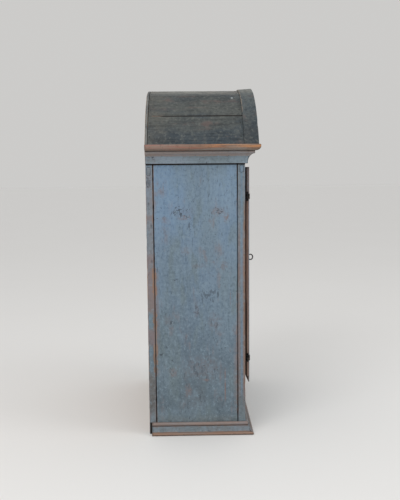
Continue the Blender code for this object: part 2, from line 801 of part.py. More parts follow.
def groove_edge(width):
    """(inset, y) pairs round the panel groove on a door frame's inner edge."""
    floor = width - DOOR_GROOVE_D
    return [
        (width, DOOR_BACK_Y),
        (width, DOOR_GROOVE_BACK_Y),
        (floor, DOOR_GROOVE_BACK_Y),
        (floor, DOOR_GROOVE_FRONT_Y),
        (width, DOOR_GROOVE_FRONT_Y),
        (width, DOOR_FRONT_Y),
    ]


def lip_undercut():
    """A long bevel that thins the bottom lip towards its front edge, right across the door."""
    front = DOOR_FRONT_Y + LIP_ROUND
    behind = LIP_BACK_Y + OVERCUT
    below = DOOR_BOTTOM - OVERCUT
    high = DOOR_BOTTOM + LIP_UNDERCUT_H
    outline = [(front, below), (front, DOOR_BOTTOM), (LIP_BACK_Y, high), (behind, high), (behind, below)]
    return prism(outline, "x", -DOOR_HALF - OVERCUT, DOOR_HALF + OVERCUT)


def rail_tenons():
    """(lowest, highest) of the top and bottom rails' tenons."""
    top = (DOOR_TOP - DOOR_TOP_RAIL_H + DOOR_GROOVE_D, REBATE_HIGH - DOOR_TENON_MARGIN)
    bottom = (REBATE_LOW + DOOR_TENON_MARGIN, DOOR_BOTTOM + DOOR_BOTTOM_RAIL_H - DOOR_GROOVE_D)
    return {"top": top, "bottom": bottom}


def door_frame(shop, pivot):
    mortise = grown((DOOR_GROOVE_FRONT_Y, DOOR_GROOVE_BACK_Y), -GAP)
    tenon = grown(mortise, -GAP)
    outline = [(DOOR_HALF - inset, y) for inset, y in lip_edge() + groove_edge(DOOR_STILE_W)]
    across = (DOOR_SIGHT - OVERCUT, DOOR_HALF + OVERCUT)
    behind = (LIP_BACK_Y, DOOR_BACK_Y + OVERCUT)
    reach = DOOR_SIGHT + DOOR_TENON_L
    for name, sign in (("hinge", -1), ("lock", 1)):
        cuts = [
            side_block(sign, across, behind, (DOOR_BOTTOM - OVERCUT, REBATE_LOW)),
            side_block(sign, across, behind, (REBATE_HIGH, DOOR_TOP + OVERCUT)),
            lip_undercut(),
        ]
        for heights in rail_tenons().values():
            cuts.append(side_block(sign, (across[0], reach + GAP), mortise, grown(heights)))
        if name == "hinge":
            cuts += [door_leaf_slot(level) for level in HINGE_LEVELS.values()]
        else:
            cuts.append(keyhole())
        bm = prism(sided(outline, sign), "z", DOOR_BOTTOM, DOOR_TOP)
        shop.piece(f"door_{name}_stile", bm, "blue", parent=pivot, cuts=cuts)
    half = DOOR_SIGHT - GAP
    for name, width, edge, inward, cuts in (
        ("top", DOOR_TOP_RAIL_H, DOOR_TOP, -1, []),
        ("bottom", DOOR_BOTTOM_RAIL_H, DOOR_BOTTOM, 1, [lip_undercut()]),
    ):
        outline = [(y, edge + inward * inset) for inset, y in lip_edge() + groove_edge(width)]
        low, high = rail_tenons()[name]
        tenons = block((-reach, tenon[0], low), (reach, tenon[1], high))
        bm = prism(outline, "x", -half, half)
        shop.piece(f"door_{name}_rail", bm, "blue", parent=pivot, joins=[tenons], cuts=cuts)


def door_panel(shop, pivot):
    """A fielded panel: a thin margin in the grooves, a bevel, a step and a flat field."""
    margin = DOOR_GROOVE_D - PANEL_PLAY
    half = DOOR_SIGHT + margin
    low = DOOR_BOTTOM + DOOR_BOTTOM_RAIL_H - margin
    high = DOOR_TOP - DOOR_TOP_RAIL_H + margin
    bm = block((-half, DOOR_GROOVE_FRONT_Y + GAP, low), (half, DOOR_GROOVE_BACK_Y - GAP, high))
    field = min(bm.faces, key=lambda face: face.calc_center_median().y)
    for width, rise in (
        (margin + PANEL_REVEAL, 0),
        (PANEL_BEVEL_W, PANEL_BEVEL_RISE),
        (PANEL_STEP_W, PANEL_STEP),
    ):
        bmesh.ops.inset_region(bm, faces=[field], thickness=width, use_even_offset=True)
        bmesh.ops.translate(bm, verts=field.verts, vec=(0, -rise, 0))
    shop.piece("door_panel", bm, "blue", parent=pivot)


# Hinges

def frame_leaf_slot(level):
    half = HINGE_LEAF_T / 2 + GAP
    return block(
        (HINGE_X - half, FACE_Y - OVERCUT, level - KNUCKLE_H - GAP),
        (HINGE_X + half, FRAME_BACK_Y - FRAME_LEAF_COVER + GAP, level + GAP),
    )


def door_leaf_slot(level):
    half = HINGE_LEAF_T / 2 + GAP
    return block(
        (-DOOR_HALF - OVERCUT, HINGE_Y - half, level - GAP),
        (-DOOR_HALF + DOOR_LEAF_DEPTH + GAP, HINGE_Y + half, level + KNUCKLE_H + GAP),
    )


def knuckle(level, direction):
    """One half of the barrel, above or below a level, with a turned finial on its end."""
    neck = KNUCKLE_H + FINIAL_NECK_H
    ball = arc((0, neck + FINIAL_R), (FINIAL_R, FINIAL_R), -60, 90, SMALL_ARC_STEPS)
    profile = [
        (0, GAP),
        (KNUCKLE_R, GAP),
        (KNUCKLE_R, KNUCKLE_H),
        (FINIAL_NECK_R, KNUCKLE_H),
        (FINIAL_NECK_R, neck),
        *ball[1:],
    ]
    heights = [(radius, level + direction * along) for radius, along in profile]
    return turned(heights, (HINGE_X, HINGE_Y, 0), "z")


def rod(radius, low, high):
    """A plain round pin on the hinge line."""
    return turned([(0, low), (radius, low), (radius, high), (0, high)], (HINGE_X, HINGE_Y, 0), "z")


def hinges(shop, pivot):
    half = HINGE_LEAF_T / 2
    root = KNUCKLE_R / 2
    for name, level in HINGE_LEVELS.items():
        pin = rod(HINGE_PIN_R, level - KNUCKLE_H / 2, level + HINGE_PIN_L)
        leaf = block(
            (HINGE_X - half, HINGE_Y + root, level - KNUCKLE_H),
            (HINGE_X + half, FRAME_BACK_Y - FRAME_LEAF_COVER, level - GAP),
        )
        shop.piece(
            f"hinge_{name}_frame_leaf", knuckle(level, -1), "iron",
            origin=(HINGE_X, HINGE_Y, level), joins=[pin, leaf], smooth=True,
        )
        socket = rod(HINGE_PIN_R + GAP, level - OVERCUT, level + HINGE_PIN_L + GAP)
        leaf = block(
            (HINGE_X + root, HINGE_Y - half, level + GAP),
            (-DOOR_HALF + DOOR_LEAF_DEPTH, HINGE_Y + half, level + KNUCKLE_H),
        )
        shop.piece(
            f"hinge_{name}_door_leaf", knuckle(level, 1), "iron",
            parent=pivot, joins=[leaf], cuts=[socket], smooth=True,
        )


# Lock

def keyhole():
    """A round hole for the shank over a slot for the bit, right through the stile."""
    radius = KEY_SHANK_R + KEYHOLE_CLEARANCE
    slot_half = KEY_BIT_T / 2 + KEYHOLE_CLEARANCE
    slot_low = LOCK_Z - KEY_BIT_R - KEYHOLE_CLEARANCE
    slot_deg = math.degrees(math.asin(slot_half / radius))
    outline = [
        (KEY_X - slot_half, slot_low),
        (KEY_X + slot_half, slot_low),
        *arc((KEY_X, LOCK_Z), (radius, radius), slot_deg - 90, 270 - slot_deg, ROUND_STEPS),
    ]
    return prism(outline, "y", DOOR_FRONT_Y - ESCUTCHEON_T - OVERCUT, DOOR_BACK_Y + OVERCUT)


def escutcheon(shop, pivot):
    middle = (KEY_X, LOCK_Z - KEY_BIT_R / 2)
    outline = arc(middle, (ESCUTCHEON_W / 2, ESCUTCHEON_H / 2), 0, 360, 2 * ROUND_STEPS)
    back = DOOR_FRONT_Y - GAP
    bm = prism(outline[:-1], "y", back - ESCUTCHEON_T, back)
    shop.piece("escutcheon", bm, "iron", parent=pivot, cuts=[keyhole()])


def lock_case(shop, pivot):
    """A shallow box, open to the door, with a way for the bolt in its edge."""
    low = LOCK_Z - CASE_H / 2
    high = LOCK_Z + CASE_H / 2
    shell = block((CASE_LEFT, CASE_FRONT_Y, low), (CASE_RIGHT, CASE_BACK_Y, high))
    cavity = block(
        (CASE_LEFT + CASE_WALL, CASE_FRONT_Y - OVERCUT, low + CASE_WALL),
        (CASE_RIGHT - CASE_WALL, CASE_BACK_Y - CASE_WALL, high - CASE_WALL),
    )
    bolt_way = block(
        (CASE_RIGHT - CASE_WALL - OVERCUT, BOLT_FRONT_Y - GAP, BOLT_Z - GAP),
        (CASE_RIGHT + OVERCUT, BOLT_BACK_Y + GAP, BOLT_TOP + GAP),
    )
    shop.piece("lock_case", shell, "iron", parent=pivot, cuts=[cavity, bolt_way])


def talon():
    """(left, right, top) of the notch that the turning bit sweeps as the bolt moves along."""
    turn = math.radians(KEY_TURN_DEG)
    enter = math.pi - math.acos(BOLT_ABOVE_KEY / KEY_BIT_R)
    places = []
    for i in range(ROUND_STEPS + 1):
        angle = enter + (turn - enter) * i / ROUND_STEPS
        places.append(KEY_X - KEY_BIT_R * math.sin(angle) - BOLT_THROW * angle / turn)
    slack = KEY_BIT_T / 2 + 2 * GAP
    return min(places) - slack, max(places) + slack, LOCK_Z + KEY_BIT_R + 2 * GAP


def lock_bolt(shop, pivot):
    left, right, notch_top = talon()
    tail = left - BOLT_TAIL
    head = CASE_RIGHT - GAP
    outline = [
        (tail, BOLT_Z),
        (left, BOLT_Z),
        (left, notch_top),
        (right, notch_top),
        (right, BOLT_Z),
        (head, BOLT_Z),
        (head, BOLT_TOP),
        (tail, BOLT_TOP),
    ]
    place = ((tail + head) / 2, BOLT_MID_Y, (BOLT_Z + BOLT_TOP) / 2)
    bm = prism(outline, "y", BOLT_FRONT_Y, BOLT_BACK_Y)
    shop.piece("lock_bolt", bm, "iron", parent=pivot, origin=place)


def lock_spring(shop, pivot):
    """A leaf spring, from the case's top wall down to the bolt that it bears on."""
    ceiling = LOCK_Z + CASE_H / 2 - CASE_WALL - GAP
    left = CASE_LEFT + CASE_WALL + GAP
    right = CASE_RIGHT - CASE_WALL - BOLT_THROW
    drop = ceiling - BOLT_TOP - GAP - SPRING_T
    upper = []
    for i in range(ARC_STEPS + 1):
        share = i / ARC_STEPS
        fall = math.sin(share * math.pi / 2) ** 2
        upper.append((left + (right - left) * share, ceiling - drop * fall))
    lower = [(x, z - SPRING_T) for x, z in reversed(upper)]
    bm = prism(upper + lower, "y", BOLT_MID_Y - SPRING_W / 2, BOLT_MID_Y + SPRING_W / 2)
    shop.piece("lock_spring", bm, "iron", parent=pivot)


def bow_ring():
    """The key's oval bow, an unbroken ring in the upright plane of the shank."""
    along = KEY_BOW_L / 2 - KEY_BOW_WIRE_R
    across = KEY_BOW_H / 2 - KEY_BOW_WIRE_R
    middle = Vector((KEY_X, DOOR_FRONT_Y - KEY_REACH + KEY_BOW_L / 2, LOCK_Z))
    bm = bmesh.new()
    rings = []
    for i in range(BOW_TURNS):
        turn = 2 * math.pi * i / BOW_TURNS
        spot = middle + Vector((0, along * math.cos(turn), across * math.sin(turn)))
        outward = Vector((0, across * math.cos(turn), along * math.sin(turn))).normalized()
        ring = []
        for j in range(BOW_SIDES):
            around = 2 * math.pi * j / BOW_SIDES
            offset = outward * math.cos(around) + Vector((math.sin(around), 0, 0))
            ring.append(bm.verts.new(spot + offset * KEY_BOW_WIRE_R))
        rings.append(ring)
    for i, far in enumerate(rings):
        near = rings[i - 1]
        for j in range(BOW_SIDES):
            bm.faces.new((near[j - 1], near[j], far[j], far[j - 1]))
    bmesh.ops.recalc_face_normals(bm, faces=bm.faces)
    return bm


def key(shop, pivot):
    """A cabinet key, bit downwards, with an oval bow, a collar and one ward cut."""
    bow_back = DOOR_FRONT_Y - KEY_REACH + KEY_BOW_L
    root = bow_back - KEY_BOW_WIRE_R
    collar = bow_back + KEY_COLLAR_L / 2
    profile = [
        (0, root),
        (KEY_SHANK_R, root),
        (KEY_SHANK_R, collar),
        (KEY_COLLAR_R, collar + KEY_COLLAR_L / 4),
        (KEY_COLLAR_R, collar + KEY_COLLAR_L * 3 / 4),
        (KEY_SHANK_R, collar + KEY_COLLAR_L),
        (KEY_SHANK_R, KEY_TIP_Y),
        (0, KEY_TIP_Y),
    ]
    shank = turned(profile, (KEY_X, 0, LOCK_Z), "y")
    half_t = KEY_BIT_T / 2
    low = LOCK_Z - KEY_BIT_R
    bit = block(
        (KEY_X - half_t, BOLT_MID_Y - KEY_BIT_W / 2, low),
        (KEY_X + half_t, BOLT_MID_Y + KEY_BIT_W / 2, LOCK_Z - KEY_SHANK_R / 2),
    )
    ward = block(
        (KEY_X - half_t - OVERCUT, BOLT_MID_Y - KEY_WARD_W / 2, low - OVERCUT),
        (KEY_X + half_t + OVERCUT, BOLT_MID_Y + KEY_WARD_W / 2, low + KEY_WARD_D),
    )
    shop.piece(
        "key", shank, "iron", parent=pivot, origin=(KEY_X, BOLT_MID_Y, LOCK_Z),
        joins=[bow_ring(), bit], cuts=[ward], smooth=True,
    )


def strike_shape(near, far, fit):
    """The strike plate's shape, let into the opening's edge and grown by a fit."""
    middle = (BOLT_Z + BOLT_TOP) / 2
    depth = grown((BOLT_MID_Y - STRIKE_W / 2, BOLT_MID_Y + STRIKE_W / 2), fit)
    height = grown((middle - STRIKE_H / 2, middle + STRIKE_H / 2), fit)
    return side_block(1, (OPENING_HALF + near, OPENING_HALF + far), depth, height)


def bolt_window(far, clearance):
    """A slot in line with the bolt, from the opening's edge to a depth beyond it."""
    depth = grown((BOLT_FRONT_Y, BOLT_BACK_Y), clearance)
    height = grown((BOLT_Z, BOLT_TOP), clearance)
    return side_block(1, (OPENING_HALF - OVERCUT, OPENING_HALF + far), depth, height)


def strike_recess():
    return strike_shape(-OVERCUT, STRIKE_T + GAP, GAP)


def strike_pocket():
    return bolt_window(STRIKE_POCKET, STRIKE_SLOT_CLEARANCE)


def strike_plate(shop):
    slot = bolt_window(STRIKE_T + OVERCUT, STRIKE_SLOT_CLEARANCE - GAP)
    shop.piece("strike_plate", strike_shape(0, STRIKE_T, 0), "iron", cuts=[slot])


def main():
    for obj in list(bpy.data.objects):
        bpy.data.objects.remove(obj)
    shop = Workshop()
    front_frame(shop)
    back_frame(shop)
    back_boards(shop)
    side_panels(shop)
    inner_boards(shop)
    mouldings(shop)
    roof_boards(shop)
    gables(shop)
    arch_rim(shop)
    strike_plate(shop)
    pivot = shop.pivot("door_pivot", (HINGE_X, HINGE_Y, 0))
    door_frame(shop, pivot)
    door_panel(shop, pivot)
    hinges(shop, pivot)
    escutcheon(shop, pivot)
    lock_case(shop, pivot)
    lock_bolt(shop, pivot)
    lock_spring(shop, pivot)
    key(shop, pivot)


main()
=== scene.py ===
import json
import math
import bmesh
import bpy
import numpy as np
from mathutils import Matrix, Vector, noise
from mathutils.bvhtree import BVHTree


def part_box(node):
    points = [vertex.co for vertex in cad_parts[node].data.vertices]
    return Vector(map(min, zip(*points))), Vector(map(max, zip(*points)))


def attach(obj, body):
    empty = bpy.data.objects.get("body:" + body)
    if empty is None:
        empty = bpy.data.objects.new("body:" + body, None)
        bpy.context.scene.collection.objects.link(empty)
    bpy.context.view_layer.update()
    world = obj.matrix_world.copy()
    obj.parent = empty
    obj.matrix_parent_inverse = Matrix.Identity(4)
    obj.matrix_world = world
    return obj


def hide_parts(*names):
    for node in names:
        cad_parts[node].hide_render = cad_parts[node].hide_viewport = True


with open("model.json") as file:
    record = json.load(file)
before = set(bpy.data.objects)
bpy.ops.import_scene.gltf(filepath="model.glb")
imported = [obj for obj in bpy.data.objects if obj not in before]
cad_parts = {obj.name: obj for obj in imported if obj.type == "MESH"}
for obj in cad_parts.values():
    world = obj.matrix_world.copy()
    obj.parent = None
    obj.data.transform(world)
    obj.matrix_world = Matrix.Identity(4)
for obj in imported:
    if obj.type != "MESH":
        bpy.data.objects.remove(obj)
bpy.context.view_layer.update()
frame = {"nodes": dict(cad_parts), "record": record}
nodes = frame["nodes"]
bodies = frame["record"]["behaviour"]["bodies"]
bodyOf = {name: body for body, members in bodies.items() for name in members}
boxes = {name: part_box(name) for name in nodes}

# places that several pieces share, read from the frame
sideX = boxes["side_panel_right"][1].x
innerX = boxes["side_panel_right"][0].x
faceY = boxes["front_stile_left"][0].y
frameBackY = boxes["front_stile_left"][1].y
backFrameY = boxes["back_stile_left"][0].y
backY = boxes["back_stile_left"][1].y
doorFrontY = boxes["door_hinge_stile"][0].y
doorX = boxes["door_lock_stile"][1].x
openingX = -boxes["front_stile_left"][1].x
crownZ = boxes["rear_gable"][1].z
roofSpan = boxes["rear_gable"][1].x
roofFootZ = boxes["roof_board_1"][0].z
roofRadius = (roofSpan ** 2 + (crownZ - roofFootZ) ** 2) / (2 * (crownZ - roofFootZ))
roofCentreZ = crownZ - roofRadius


def rgb(red, green, blue):  # a colour as a paint chart writes it
    parts = [value / 255 for value in (red, green, blue)]
    return (*[v / 12.92 if v <= 0.04045 else ((v + 0.055) / 1.055) ** 2.4 for v in parts], 1.0)


viewpoint = {
    "place": (-2.6593, 0.07375, 0.9),
    "lens": 51.52,
    "sensor": 36,
    "yaw": -0.0205,
    "pitch": 0.1162,
    "roll": -0.0087,
}


def placeCamera(s):
    turn = Matrix.Rotation(s["yaw"], 3, "Z")
    ahead, right, up = turn @ Vector((1, 0, 0)), turn @ Vector((0, -1, 0)), Vector((0, 0, 1))
    c, d = math.cos(s["pitch"]), math.sin(s["pitch"])
    ahead, up = ahead * c - up * d, ahead * d + up * c
    c, d = math.cos(s["roll"]), math.sin(s["roll"])
    right, up = right * c + up * d, up * c - right * d
    data = bpy.data.cameras.new("photoCamera")
    data.lens = s["lens"]
    data.sensor_width = s["sensor"]
    camera = bpy.data.objects.new("photoCamera", data)
    camera.matrix_world = Matrix.Translation(s["place"]) @ Matrix((right, up, -ahead)).transposed().to_4x4()
    bpy.context.scene.collection.objects.link(camera)
    bpy.context.scene.camera = camera


placeCamera(viewpoint)
print("camera set")


class Wire:  # one value that takes part in a sum of nodes
    def __init__(self, recipe, socket):
        self.recipe = recipe
        self.socket = socket

    def sum(self, operation, *terms):
        return self.recipe.node("ShaderNodeMath", {"operation": operation}, dict(enumerate(terms)))

    def __add__(self, other):
        return self.sum("ADD", self, other)

    def __sub__(self, other):
        return self.sum("SUBTRACT", self, other)

    def __rsub__(self, other):
        return self.sum("SUBTRACT", other, self)

    def __mul__(self, other):
        return self.sum("MULTIPLY", self, other)

    def __or__(self, other):  # the larger of two masks
        return self.sum("MAXIMUM", self, other)

    __radd__ = __add__
    __rmul__ = __mul__
    __ror__ = __or__


class Recipe:  # one finish and the nodes that make it
    def __init__(self, name, tree=None):
        if tree is None:
            self.material = bpy.data.materials.new(name)
            self.material.use_nodes = True
            tree = self.material.node_tree
            self.shader = tree.nodes["Principled BSDF"]
        self.tree = tree

    def node(self, kind, settings=None, sockets=None, out=0):
        made = self.tree.nodes.new(kind)
        for key, value in (settings or {}).items():
            if key == "stops":
                self.setStops(made.color_ramp, value)
            else:
                setattr(made, key, value)
        for key, value in (sockets or {}).items():
            self.feed(made.inputs[key], value)
        return Wire(self, made.outputs[out]) if made.outputs else None

    def setStops(self, ramp, stops):
        while len(ramp.elements) < len(stops):
            ramp.elements.new(1.0)
        for element, (place, colour) in zip(ramp.elements, stops):
            element.position = place
            element.color = colour

    def feed(self, socket, value):
        if isinstance(value, Wire):
            self.tree.links.new(value.socket, socket)
        else:
            socket.default_value = value

    def place(self, shift=(0, 0, 0)):
        spot = self.node("ShaderNodeTexCoord", out="Object")
        return self.vector("ADD", spot, shift) if any(shift) else spot

    def vector(self, operation, first, second):
        return self.node("ShaderNodeVectorMath", {"operation": operation}, {0: first, 1: second})

    def split(self, spot):
        parts = self.node("ShaderNodeSeparateXYZ", sockets={0: spot}).socket.node
        return {axis: Wire(self, parts.outputs[i]) for i, axis in enumerate("xyz")}

    def attribute(self, name):
        return self.node("ShaderNodeAttribute", {"attribute_name": name}, out="Fac")

    def noise(self, spot, scale, detail=3.0, rough=0.55, twist=0.0):
        sockets = {"Vector": spot, "Scale": scale, "Detail": detail, "Roughness": rough}
        return self.node("ShaderNodeTexNoise", sockets={**sockets, "Distortion": twist})

    def span(self, value, low, high, start=0.0, end=1.0):
        sockets = {"Value": value, "From Min": low, "From Max": high, "To Min": start, "To Max": end}
        return self.node("ShaderNodeMapRange", {"interpolation_type": "SMOOTHSTEP"}, sockets)

    def mix(self, share, first, second, blend="MIX"):
        settings = {"data_type": "RGBA", "blend_type": blend, "clamp_factor": True}
        return self.node("ShaderNodeMix", settings, {0: share, 6: first, 7: second}, out=2)

    def ramp(self, value, stops):
        return self.node("ShaderNodeValToRGB", {"stops": stops}, {0: value})

    def bump(self, height, strength, depth):
        sockets = {"Height": height, "Strength": strength, "Distance": depth}
        return self.node("ShaderNodeBump", sockets=sockets)

    def finish(self, colour, rough, normal, gloss=0.5):
        self.feed(self.shader.inputs["Base Color"], colour)
        self.feed(self.shader.inputs["Roughness"], rough)
        self.feed(self.shader.inputs["Normal"], normal)
        self.shader.inputs["Specular IOR Level"].default_value = gloss
        return self.material


studio = {
    "floorColour": rgb(228, 227, 225),
    "floorHaze": rgb(214, 208, 200),
    "floorHalf": 30.0,
    "fill": 0.78,
    "keyPlace": (-2.6, 1.6, 3.0),
    "keySize": 2.4,
    "keyPower": 46.0,
    "frontPlace": (-1.2, -3.2, 2.2),
    "frontSize": 2.2,
    "frontPower": 26.0,
    "aim": (0.0, 0.0, 0.6),
}


def softLamp(name, place, size, power, aim):
    data = bpy.data.lights.new(name, "AREA")
    data.shape = "DISK"
    data.size = size
    data.energy = power
    lamp = bpy.data.objects.new(name, data)
    lamp.location = place
    lamp.rotation_euler = (Vector(aim) - Vector(place)).to_track_quat("-Z", "Y").to_euler()
    bpy.context.scene.collection.objects.link(lamp)


def makeStudio(s):
    half = s["floorHalf"]
    mesh = bpy.data.meshes.new("floor")
    corners = [(-half, -half, 0), (half, -half, 0), (half, half, 0), (-half, half, 0)]
    mesh.from_pydata(corners, [], [(0, 1, 2, 3)])
    floor = bpy.data.objects.new("floor", mesh)
    bpy.context.scene.collection.objects.link(floor)
    recipe = Recipe("paleFloor")
    haze = recipe.noise(recipe.place(), 1.3)
    tone = recipe.mix(haze * 0.1, s["floorColour"], s["floorHaze"])
    mesh.materials.append(recipe.finish(tone, 0.75, recipe.bump(haze, 0.05, 0.01)))
    world = bpy.data.worlds.new("studio")
    world.use_nodes = True
    bpy.context.scene.world = world
    recipe = Recipe("studio", world.node_tree)
    lit = recipe.node("ShaderNodeBackground", sockets={0: (1, 1, 1, 1), 1: s["fill"]})
    seen = recipe.node("ShaderNodeBackground", sockets={0: s["floorColour"], 1: s["fill"]})
    path = recipe.node("ShaderNodeLightPath").socket.node
    rays = ("Is Camera Ray", "Is Glossy Ray", "Is Transmission Ray")
    direct, mirrored, through = (Wire(recipe, path.outputs[ray]) for ray in rays)
    choice = recipe.node("ShaderNodeMixShader", sockets={0: direct | mirrored | through, 1: lit, 2: seen})
    recipe.feed(world.node_tree.nodes["World Output"].inputs["Surface"], choice)
    softLamp("keyLamp", s["keyPlace"], s["keySize"], s["keyPower"], s["aim"])
    softLamp("frontLamp", s["frontPlace"], s["frontSize"], s["frontPower"], s["aim"])
    bpy.context.scene.view_settings.view_transform = "Standard"


makeStudio(studio)
print("studio set")

# worn copies: softened edges, knocks along them, and how far each point is from an edge

boardWear = {
    "round": 0.0015,
    "longEdge": 0.03,
    "along": 0.010,
    "across": 0.012,
    "knock": 0.0022,
    "reach": 0.006,
}
roofWear = {**boardWear, "round": 0.0003, "longEdge": 0.012, "along": 0.012, "knock": 0.0012}
rimWear = {**roofWear, "round": 0.0007, "across": 0.004, "knock": 0.0016}
mouldWear = {
    **boardWear, "round": 0.0011, "longEdge": 0.06, "along": 0.008, "across": 0.02, "knock": 0.0018,
}
plainWear = {**boardWear, "round": 0.0010, "along": 0.03, "across": 0.04, "knock": 0.0008, "reach": 0.005}
knocks = {"size": 46.0, "fineSize": 2.7, "fineShare": 0.6, "spared": 0.2}
edgeAngles = {"flat": 0.5, "sharp": 32, "crease": 50}
mergeGap = 0.00002
farFromEdge = 0.2
endDepth = 0.001
axisOf = {"x": 0, "y": 1, "z": 2}


def cutAcross(bm, axis, step):
    places = [vert.co[axis] for vert in bm.verts]
    low, high = min(places), max(places)
    count = max(1, round((high - low) / step))
    normal = Vector((0, 0, 0))
    normal[axis] = 1
    for i in range(1, count):
        spot = normal * (low + (high - low) * i / count)
        bmesh.ops.bisect_plane(
            bm, geom=[*bm.verts, *bm.edges, *bm.faces], dist=1e-6, plane_co=spot, plane_no=normal
        )


def nearest(points, lines):  # the way from each point to the closest of some edges
    best = np.full(len(points), farFromEdge)
    for start, end in lines:
        along = end - start
        share = np.clip((points - start) @ along / (along @ along), 0, 1)
        best = np.minimum(best, np.linalg.norm(points - start - share[:, None] * along, axis=1))
    return best


def fromEnd(places, ends):
    return np.minimum(places - ends[0], ends[1] - places)


def wornCopy(name, wear, grain, finish, plainEnds=False):
    bm = bmesh.new()
    bm.from_mesh(nodes[name].data)
    bmesh.ops.remove_doubles(bm, verts=bm.verts, dist=mergeGap)
    flat, steep, crease = (math.radians(edgeAngles[key]) for key in ("flat", "sharp", "crease"))
    bmesh.ops.dissolve_limit(bm, angle_limit=flat, verts=bm.verts, edges=bm.edges)
    bm.normal_update()
    sharp = [edge for edge in bm.edges if edge.is_manifold and edge.calc_face_angle(0) > steep]
    arrises = [edge for edge in sharp if edge.is_convex and edge.calc_length() > wear["longEdge"]]
    kept = set(arrises)
    arrisLines = [[np.array(vert.co) for vert in edge.verts] for edge in arrises]
    seamLines = [[np.array(vert.co) for vert in edge.verts] for edge in sharp if edge not in kept]
    axis = axisOf[grain]
    ends = [pick(vert.co[axis] for vert in bm.verts) for pick in (min, max)]
    if plainEnds:
        seamLines = [
            line for line in seamLines if max(fromEnd(spot[axis], ends) for spot in line) > endDepth
        ]
    bmesh.ops.bevel(
        bm, geom=arrises, offset=wear["round"], offset_type="OFFSET", segments=2, profile=0.5,
        affect="EDGES", clamp_overlap=True,
    )
    for side in axisOf.values():
        cutAcross(bm, side, wear["along"] if side == axis else wear["across"])
    bm.normal_update()
    points = np.array([vert.co for vert in bm.verts])
    arris = nearest(points, arrisLines)
    seam = nearest(points, seamLines)
    if plainEnds:
        arris[fromEnd(points[:, axis], ends) < endDepth] = farFromEdge
    shift = Vector((len(name) * 1.7, ord(name[-1]) * 0.31, 4.0))  # knocks differ from piece to piece
    for vert, gap in zip(bm.verts, arris):
        if gap < wear["reach"]:
            spot = vert.co * knocks["size"]
            fine = noise.noise(spot * knocks["fineSize"] + shift)
            hit = max(0.0, noise.noise(spot + shift) + knocks["fineShare"] * fine - knocks["spared"])
            vert.co -= vert.normal * wear["knock"] * hit * (1 - gap / wear["reach"])
    mesh = bpy.data.meshes.new(name + "_worn")
    bm.to_mesh(mesh)
    bm.free()
    for label, values in (("arris", arris), ("seam", seam)):
        mesh.attributes.new(label, "FLOAT", "POINT").data.foreach_set("value", values.astype(np.float32))
    mesh.shade_smooth()
    mesh.set_sharp_from_angle(angle=crease)
    mesh.materials.append(finish)
    piece = bpy.data.objects.new(name + "_worn", mesh)
    bpy.context.scene.collection.objects.link(piece)
    crisp = piece.modifiers.new("crisp", "WEIGHTED_NORMAL")
    crisp.keep_sharp = True
    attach(piece, bodyOf[name])
    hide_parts(name)


# finishes

def drawnOut(share):  # a pattern stretched along the grain
    return {"x": (share, 1, 1), "y": (1, share, 1), "z": (1, 1, share)}


grainPull, flamePull, dashPull = drawnOut(0.07), drawnOut(0.12), drawnOut(0.30)
ringWave = {"Scale": 72, "Distortion": 16, "Detail": 1.6, "Detail Scale": 0.22, "Detail Roughness": 0.5}


def woods(dark, middle, light, rust):
    return {"dark": rgb(*dark), "middle": rgb(*middle), "light": rgb(*light), "rust": rgb(*rust)}


underWood = woods((92, 72, 62), (132, 110, 96), (150, 127, 108), (158, 114, 82))
# near-black for painted shade in gaps, grooves and under ledges, mixed with grime in joints
grimeAndShadeTone = rgb(28, 22, 20)
blueLook = {
    "main": rgb(112, 134, 156),
    # foot: the colour low down, darker as painted shade where less light falls and as dirt
    "foot": rgb(90, 104, 113),
    "footSpan": (0.02, 0.88),
    "pale": rgb(128, 147, 160),
    "grey": rgb(104, 118, 122),
    "shade": (0.64, 0.67, 0.69, 1.0),
    "rub": rgb(120, 110, 111),
    "rubShare": 0.55,
    "streaks": 0.28,
    "edgeWear": 0.0012,
    "speck": rgb(54, 60, 68),
    "specks": 0.055,
    "dashes": 0.06,
    "drift": 0.35,
    "chips": 0.35,
    "seam": 0.85,
    "rough": 0.62,
}
roofLook = {
    "main": rgb(63, 68, 68),
    # foot: darker and bluer low on the roof; the darkening is painted shade on the curve
    "foot": rgb(49, 58, 64),
    "footSpan": (roofFootZ, roofFootZ + 0.12),
    "pale": rgb(108, 110, 104),
    "grey": rgb(56, 67, 75),
    "shade": (0.52, 0.54, 0.56, 1.0),
    "rub": rgb(92, 79, 76),
    "rubShare": 0.8,
    "streaks": 0.7,
    "edgeWear": 0.0005,
    "speck": rgb(40, 43, 45),
    "specks": 0.03,
    "dashes": 0.05,
    "drift": 0.6,
    "chips": 0.1,
    "seam": 0.7,
    "rough": 0.58,
}
pineTones = {
    **woods((108, 81, 58), (141, 109, 79), (158, 126, 92), (129, 97, 68)),
    "knot": rgb(74, 47, 32),
    "knotRim": rgb(112, 75, 48),
}


def woodTone(recipe, spot, grain, tones):
    along = recipe.vector("MULTIPLY", spot, grainPull[grain])
    rings = {"wave_type": "RINGS", "rings_direction": grain.upper(), "wave_profile": "SAW"}
    flame = recipe.vector("MULTIPLY", spot, flamePull[grain])
    ring = recipe.node("ShaderNodeTexWave", rings, {"Vector": flame, **ringWave}, out="Fac")
    clear = recipe.span(recipe.noise(along, 40, 3), 0.36, 0.62)
    fibre = recipe.noise(along, 520, 2, 0.5)
    broad = recipe.noise(along, 18, 2)
    tone = recipe.ramp(ring, [(0.0, tones["light"]), (0.55, tones["middle"]), (0.97, tones["dark"])])
    tone = recipe.mix(clear * 0.75, tone, tones["middle"])
    tone = recipe.mix(recipe.span(broad, 0.36, 0.70) * 0.7, tone, tones["rust"])
    return recipe.mix(recipe.span(fibre, 0.46, 0.68) * 0.4, tone, tones["dark"]), ring, fibre


def within(recipe, axes, limits):  # 1 where every limit is passed
    share = 1.0
    for axis, sign, start, full in limits:
        share = recipe.span(axes[axis] * sign, start, full) * share
    return share


